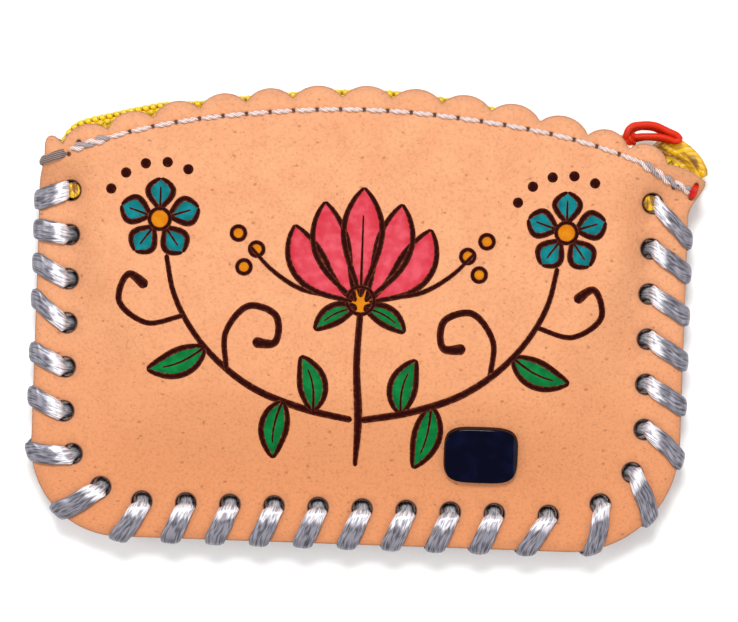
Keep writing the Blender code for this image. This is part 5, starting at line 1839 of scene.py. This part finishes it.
@dataclass
class FolkSpray:
    """A symmetrical folk spray of dyed flowers and leaves with burnt outlines.

    Attributes:
        dye_lift: How far the dye lies over the leather.
        line_lift: How far the burnt lines lie over it, and lift_step how much each one more.
        levels: Number of those steps, one more than the lines of one side, so that no two
            lines that cross share a level.
        stem: The middle flower's stem: x, y and the line's width there.
        branches: The lines of the right half, in the same way; the last is drawn last.
        leaves: Root of each of the right half's leaves, its tip there, and its tip in the left
            half as seen in a mirror.
        heart: Middle of the right star flower.
    """

    form: PurseForm
    dye_lift: float = 0.03
    line_lift: float = 0.05
    lift_step: float = 0.0025
    levels: int = 33
    ring_width: float = 0.75
    stroke_spacing: float = 0.28
    stem: Triples = (
        (0.0, -27.5, 0.8), (0.3, -19.0, 1.5), (-0.3, -9.0, 1.3), (0.0, 0.5, 1.2)
    )
    branches: tuple[Triples, ...] = (
        ((0.8, -19.0, 1.2), (9.0, -17.4, 1.35), (20.0, -13.2, 1.3), (29.0, -5.5, 1.1),
         (34.0, 3.0, 1.0), (35.6, 10.0, 0.9)),
        ((24.0, -10.6, 1.0), (24.2, -3.5, 1.1), (20.0, 1.2, 1.25), (15.2, -0.6, 1.3),
         (15.4, -5.4, 1.4), (19.4, -5.4, 2.2)),
        ((32.0, -1.0, 0.9), (39.0, -2.5, 1.0), (44.0, 1.6, 1.15), (42.2, 6.2, 1.3),
         (38.9, 4.0, 2.1)),
        ((5.0, 3.4, 0.8), (11.0, 4.6, 0.9), (16.5, 8.0, 0.8), (20.4, 12.0, 0.6)),
    )
    leaves: tuple[Pairs, ...] = (
        ((8.0, -17.6), (10.5, -7.6), (10.5, -7.6)), ((13.5, -15.9), (10.6, -27.5), (15.0, -26.5)),
        ((28.0, -6.6), (38.5, -11.0), (38.5, -11.0)),
    )
    leaf_bends: tuple[float, ...] = (1.0, 0.8, -1.0)
    heart: tuple[float, float] = (37.0, 16.4)
    berries: Pairs = ((19.2, 11.5), (22.6, 14.3), (21.4, 8.2))
    fills: dict[Dye, list[Patch]] = field(default_factory=dict)
    lines: list[Patch] = field(default_factory=list)
    beads: list[Patch] = field(default_factory=list)

    def next_lift(self) -> float:
        """How far the next burnt line lies over the leather."""
        return self.line_lift + self.lift_step * (len(self.lines) % self.levels)

    def stroke(self, points: Array, widths: Array) -> None:
        """Add a burnt line along flat points, with a width at each and round ends.

        Its points lie on either side of the line, and their value beside is their distance
        from its middle as a share. Each line lies a hair higher than the last, so that
        crossing lines don't share a surface.
        """
        rows = np.column_stack([points, np.zeros(len(points)), widths])
        fine, places = even_path(rows, self.stroke_spacing)
        half = fine[:, 3] / 2
        to_end = np.minimum(places, places[-1] - places) / half
        half = half * np.sqrt(np.maximum(1.0 - (1.0 - np.minimum(to_end, 1.0)) ** 2, 0.02))
        across = np.linspace(1.0, -1.0, 7)
        beside_line = left_of(fine[:, :2])[:, None] * (half[:, None] * across)[..., None]
        grid = self.form.on_panel(fine[:, None, :2] + beside_line, self.next_lift())
        self.lines.append(grid_patch(grid, values={"beside": np.abs(across)}))

    def dot(
        self, centre: Array | tuple[float, float], radius: float, dye: Dye | None = None
    ) -> None:
        """Add a round dot, burnt or dyed with a burnt ring."""
        share = np.array([0.02, 0.35, 0.65, 0.85, 1.0])[:, None]
        circle = on_circle(-ring_angles(20))
        flat = np.array(centre) + share[..., None] * radius * circle
        if dye is None:
            grid = self.form.on_panel(flat, self.line_lift + 0.3 * radius * (1.0 - share**3))
            self.beads.append(grid_patch(grid, False, True, values={"beside": 0.7 * share}))
            return
        field_of_dye = grid_patch(self.form.on_panel(flat, self.dye_lift), False, True,
                                  values={"thin": 0.4 * (1.0 - share)})
        self.fills.setdefault(dye, []).append(field_of_dye)
        across = np.linspace(-1.0, 1.0, 7)[:, None]
        flat = np.array(centre) + (radius + self.ring_width / 2 * across[..., None]) * circle
        grid = self.form.on_panel(flat, self.next_lift())
        self.lines.append(grid_patch(grid, False, True, values={"beside": np.abs(across)}))

    def blade(
        self,
        root: Array | tuple[float, float],
        tip: Array | tuple[float, float],
        width: float,
        dye: Dye,
        bend: float = 0.0,
        vein: float = 0.0,
        fullest: float = 0.5,
    ) -> None:
        """Add a petal or leaf with a burnt outline.

        Its middle line is an arc from root to tip that bends to its left, and its half width is
        a sine arch whose top is at the share fullest.

        Args:
            root: Where it starts.
            tip: Where it ends.
            width: At its widest.
            dye: Its colour.
            bend: How far its middle stands to the left of the straight line.
            vein: Width of a burnt line up its middle, or 0 for none.
            fullest: Where along it the widest place is.
        """
        start, end = np.array(root), np.array(tip)
        share = np.linspace(0.0, 1.0, 25)
        straight = end - start
        left = unit(np.array([-straight[1], straight[0]]))
        arc = bend * np.sin(math.pi * share)[:, None]
        middle = start + straight * share[:, None] + left * arc
        power = math.log(0.5) / math.log(fullest)
        half = width / 2 * np.sin(math.pi * share**power) ** 0.85
        across = np.linspace(1.0, -1.0, 11)
        flat = middle[:, None] + left_of(middle)[:, None] * (half[:, None] * across)[..., None]
        grid = self.form.on_panel(flat, self.dye_lift)
        thin = np.sin(math.pi * share)[:, None] * (0.5 - 0.5 * np.abs(across))
        self.fills.setdefault(dye, []).append(grid_patch(grid, values={"thin": thin}))
        pen = 0.55 + 0.55 * np.sin(math.pi * share) ** 0.5
        for edge in (0, -1):
            self.stroke(flat[::2, edge], pen[::2])
        if vein:
            self.stroke(middle[:19:2], np.linspace(vein, 0.3, 10))

    def mirrored(self, sign: int) -> None:
        """One half of the spray, on the side that sign gives."""
        *first_lines, sprig = (np.array(line) * (sign, 1, 1) for line in self.branches)
        for line in first_lines:
            self.stroke(line[:, :2], line[:, 2])
        for leaf, bend in zip(self.leaves, self.leaf_bends):
            root, *tips = np.array(leaf) * (sign, 1)
            self.blade(root, tips[sign < 0], 4.6, Dye.GREEN, sign * bend, 0.55, 0.45)
        heart = np.array(self.heart) * (sign, 1)
        for angle in math.pi / 2 + ring_angles(5):
            out = on_circle(angle)
            self.blade(heart + 1.6 * out, heart + 7.4 * out, 4.6, Dye.TEAL, 0.0, 0.5, 0.6)
        self.dot(heart, 1.9, Dye.YELLOW)
        for angle in np.radians(62.0 + 22.0 * np.arange(5)):
            self.dot(heart + 10.4 * on_circle(angle), 0.95)
        for berry in self.berries:
            self.dot(np.array(berry) * (sign, 1), 1.25, Dye.YELLOW)
        self.stroke(sprig[:, :2], sprig[:, 2])

    def tulip(self) -> None:
        """The middle flower on its stem, with its leaves."""
        stem = np.array(self.stem)
        self.stroke(stem[:, :2], stem[:, 2])
        for x, y, bend in ((12.4, 16.2, 2.4), (7.0, 20.6, 1.4)):
            for side in (-1, 1):
                self.blade((0.12 * side * x, 2.6), (side * x, y), 6.2, Dye.PINK, -side * bend, 0.0, 0.6)
        self.blade((0.0, 3.4), (0.0, 23.4), 7.0, Dye.PINK, 0.0, 0.6, 0.6)
        for side in (-1, 1):
            self.blade((0.6 * side, 1.6), (8.2 * side, -2.8), 3.2, Dye.GREEN, 0.8 * side, 0.45, 0.5)
        self.dot((0.0, 2.8), 2.5, Dye.YELLOW)

    def build(self) -> None:
        """Make the dyed fields, one piece for each colour, and the burnt lines."""
        for sign in (-1, 1):
            self.mirrored(sign)
        self.tulip()
        for dye, patches in self.fills.items():
            make_piece(f"{dye.name.lower()}_dyed_fields", patches, dye.value.material(), "purse",
                       sharp_angle=180.0)
        burnt = BurntLine().material()
        make_piece("burnt_outlines", self.lines, burnt, "purse", sharp_angle=180.0)
        make_piece("burnt_beads", self.beads, burnt, "purse", sharp_angle=180.0)


# Studio


@dataclass
class Studio:
    """White paper, soft daylight from above the purse's top edge, and the camera.

    Attributes:
        camera_x: Where the camera stands over the purse, in mm, and camera_y the same.
        turn: How far the camera is turned about its own axis.
        floor_z: Just below the back stitches, which the purse lies on.
        lights: Name, place in m, width in m and power in watts of each soft light.
        sky: Strength of the room's even light.
    """

    camera_x: float = 1.604
    camera_y: float = 0.966
    camera_z: float = 612.4
    turn: float = math.radians(2.0)
    lens: float = 160.98
    floor_z: float = -0.36
    floor_half: float = 1500.0
    lights: tuple[tuple[str, tuple[float, float, float], float, float], ...] = (
        ("window_light", (-0.05, 0.42, 0.86), 0.26, 6.6),
        ("left_fill", (-0.85, -0.1, 0.75), 0.6, 2.8),
        ("right_fill", (0.75, -0.45, 0.75), 0.6, 2.8),
    )
    sky: float = 0.62

    def add_light(
        self, name: str, place: tuple[float, float, float], size: float, watts: float
    ) -> None:
        """A square soft light that faces the purse."""
        light = bpy.data.lights.new(name, "AREA")
        light.size = size
        light.energy = watts
        lamp = bpy.data.objects.new(name, light)
        lamp.location = place
        lamp.rotation_euler = Vector(place).to_track_quat("Z", "Y").to_euler()
        bpy.context.scene.collection.objects.link(lamp)

    def build(self) -> None:
        """Make the floor, the lights and the camera."""
        scene = bpy.context.scene
        grid = np.linspace(-self.floor_half, self.floor_half, 9)
        x, y = np.meshgrid(grid, grid)
        patch = grid_patch(np.stack([x, y, 0.0 * x + self.floor_z], axis=-1))
        mesh = bpy.data.meshes.new("paper_floor")
        mesh.from_pydata((patch.points * MM).tolist(), [], patch.faces[0].tolist())
        mesh.materials.append(StudioPaper().material())
        floor = bpy.data.objects.new("paper_floor", mesh)
        scene.collection.objects.link(floor)
        for light in self.lights:
            self.add_light(*light)
        world = bpy.data.worlds.new("soft_room")
        world.use_nodes = True
        sky = world.node_tree.nodes["Background"]
        set_inputs(world.node_tree, sky, {"Color": linear("#ffffff"), "Strength": self.sky})
        scene.world = world
        scene.view_settings.view_transform = "Standard"
        lens = bpy.data.cameras.new("overhead_camera")
        lens.sensor_width = 36.0
        lens.lens = self.lens
        camera = bpy.data.objects.new("overhead_camera", lens)
        camera.location = (self.camera_x * MM, self.camera_y * MM, self.camera_z * MM)
        camera.rotation_euler = (0.0, 0.0, self.turn)
        scene.collection.objects.link(camera)
        scene.camera = camera


def write_sizes() -> None:
    """Bring the scene's placements up to date."""
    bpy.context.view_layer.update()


def main() -> None:
    """Build every sub-assembly of the purse in order."""
    logging.basicConfig(level=logging.INFO, format="%(message)s")
    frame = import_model()
    form = PurseForm()
    row = StitchRow(form)
    zipper = CoilZipper(form)
    Studio().build()
    LeatherPanels(form, row).build()
    SeamThread(form, row).build()
    WhipStitch(form).build()
    zipper.build()
    SliderAndPull(form, zipper, frame).build()
    CushionStone(form).build()
    FolkSpray(form).build()
    write_sizes()


if __name__ == "__main__":
    main()
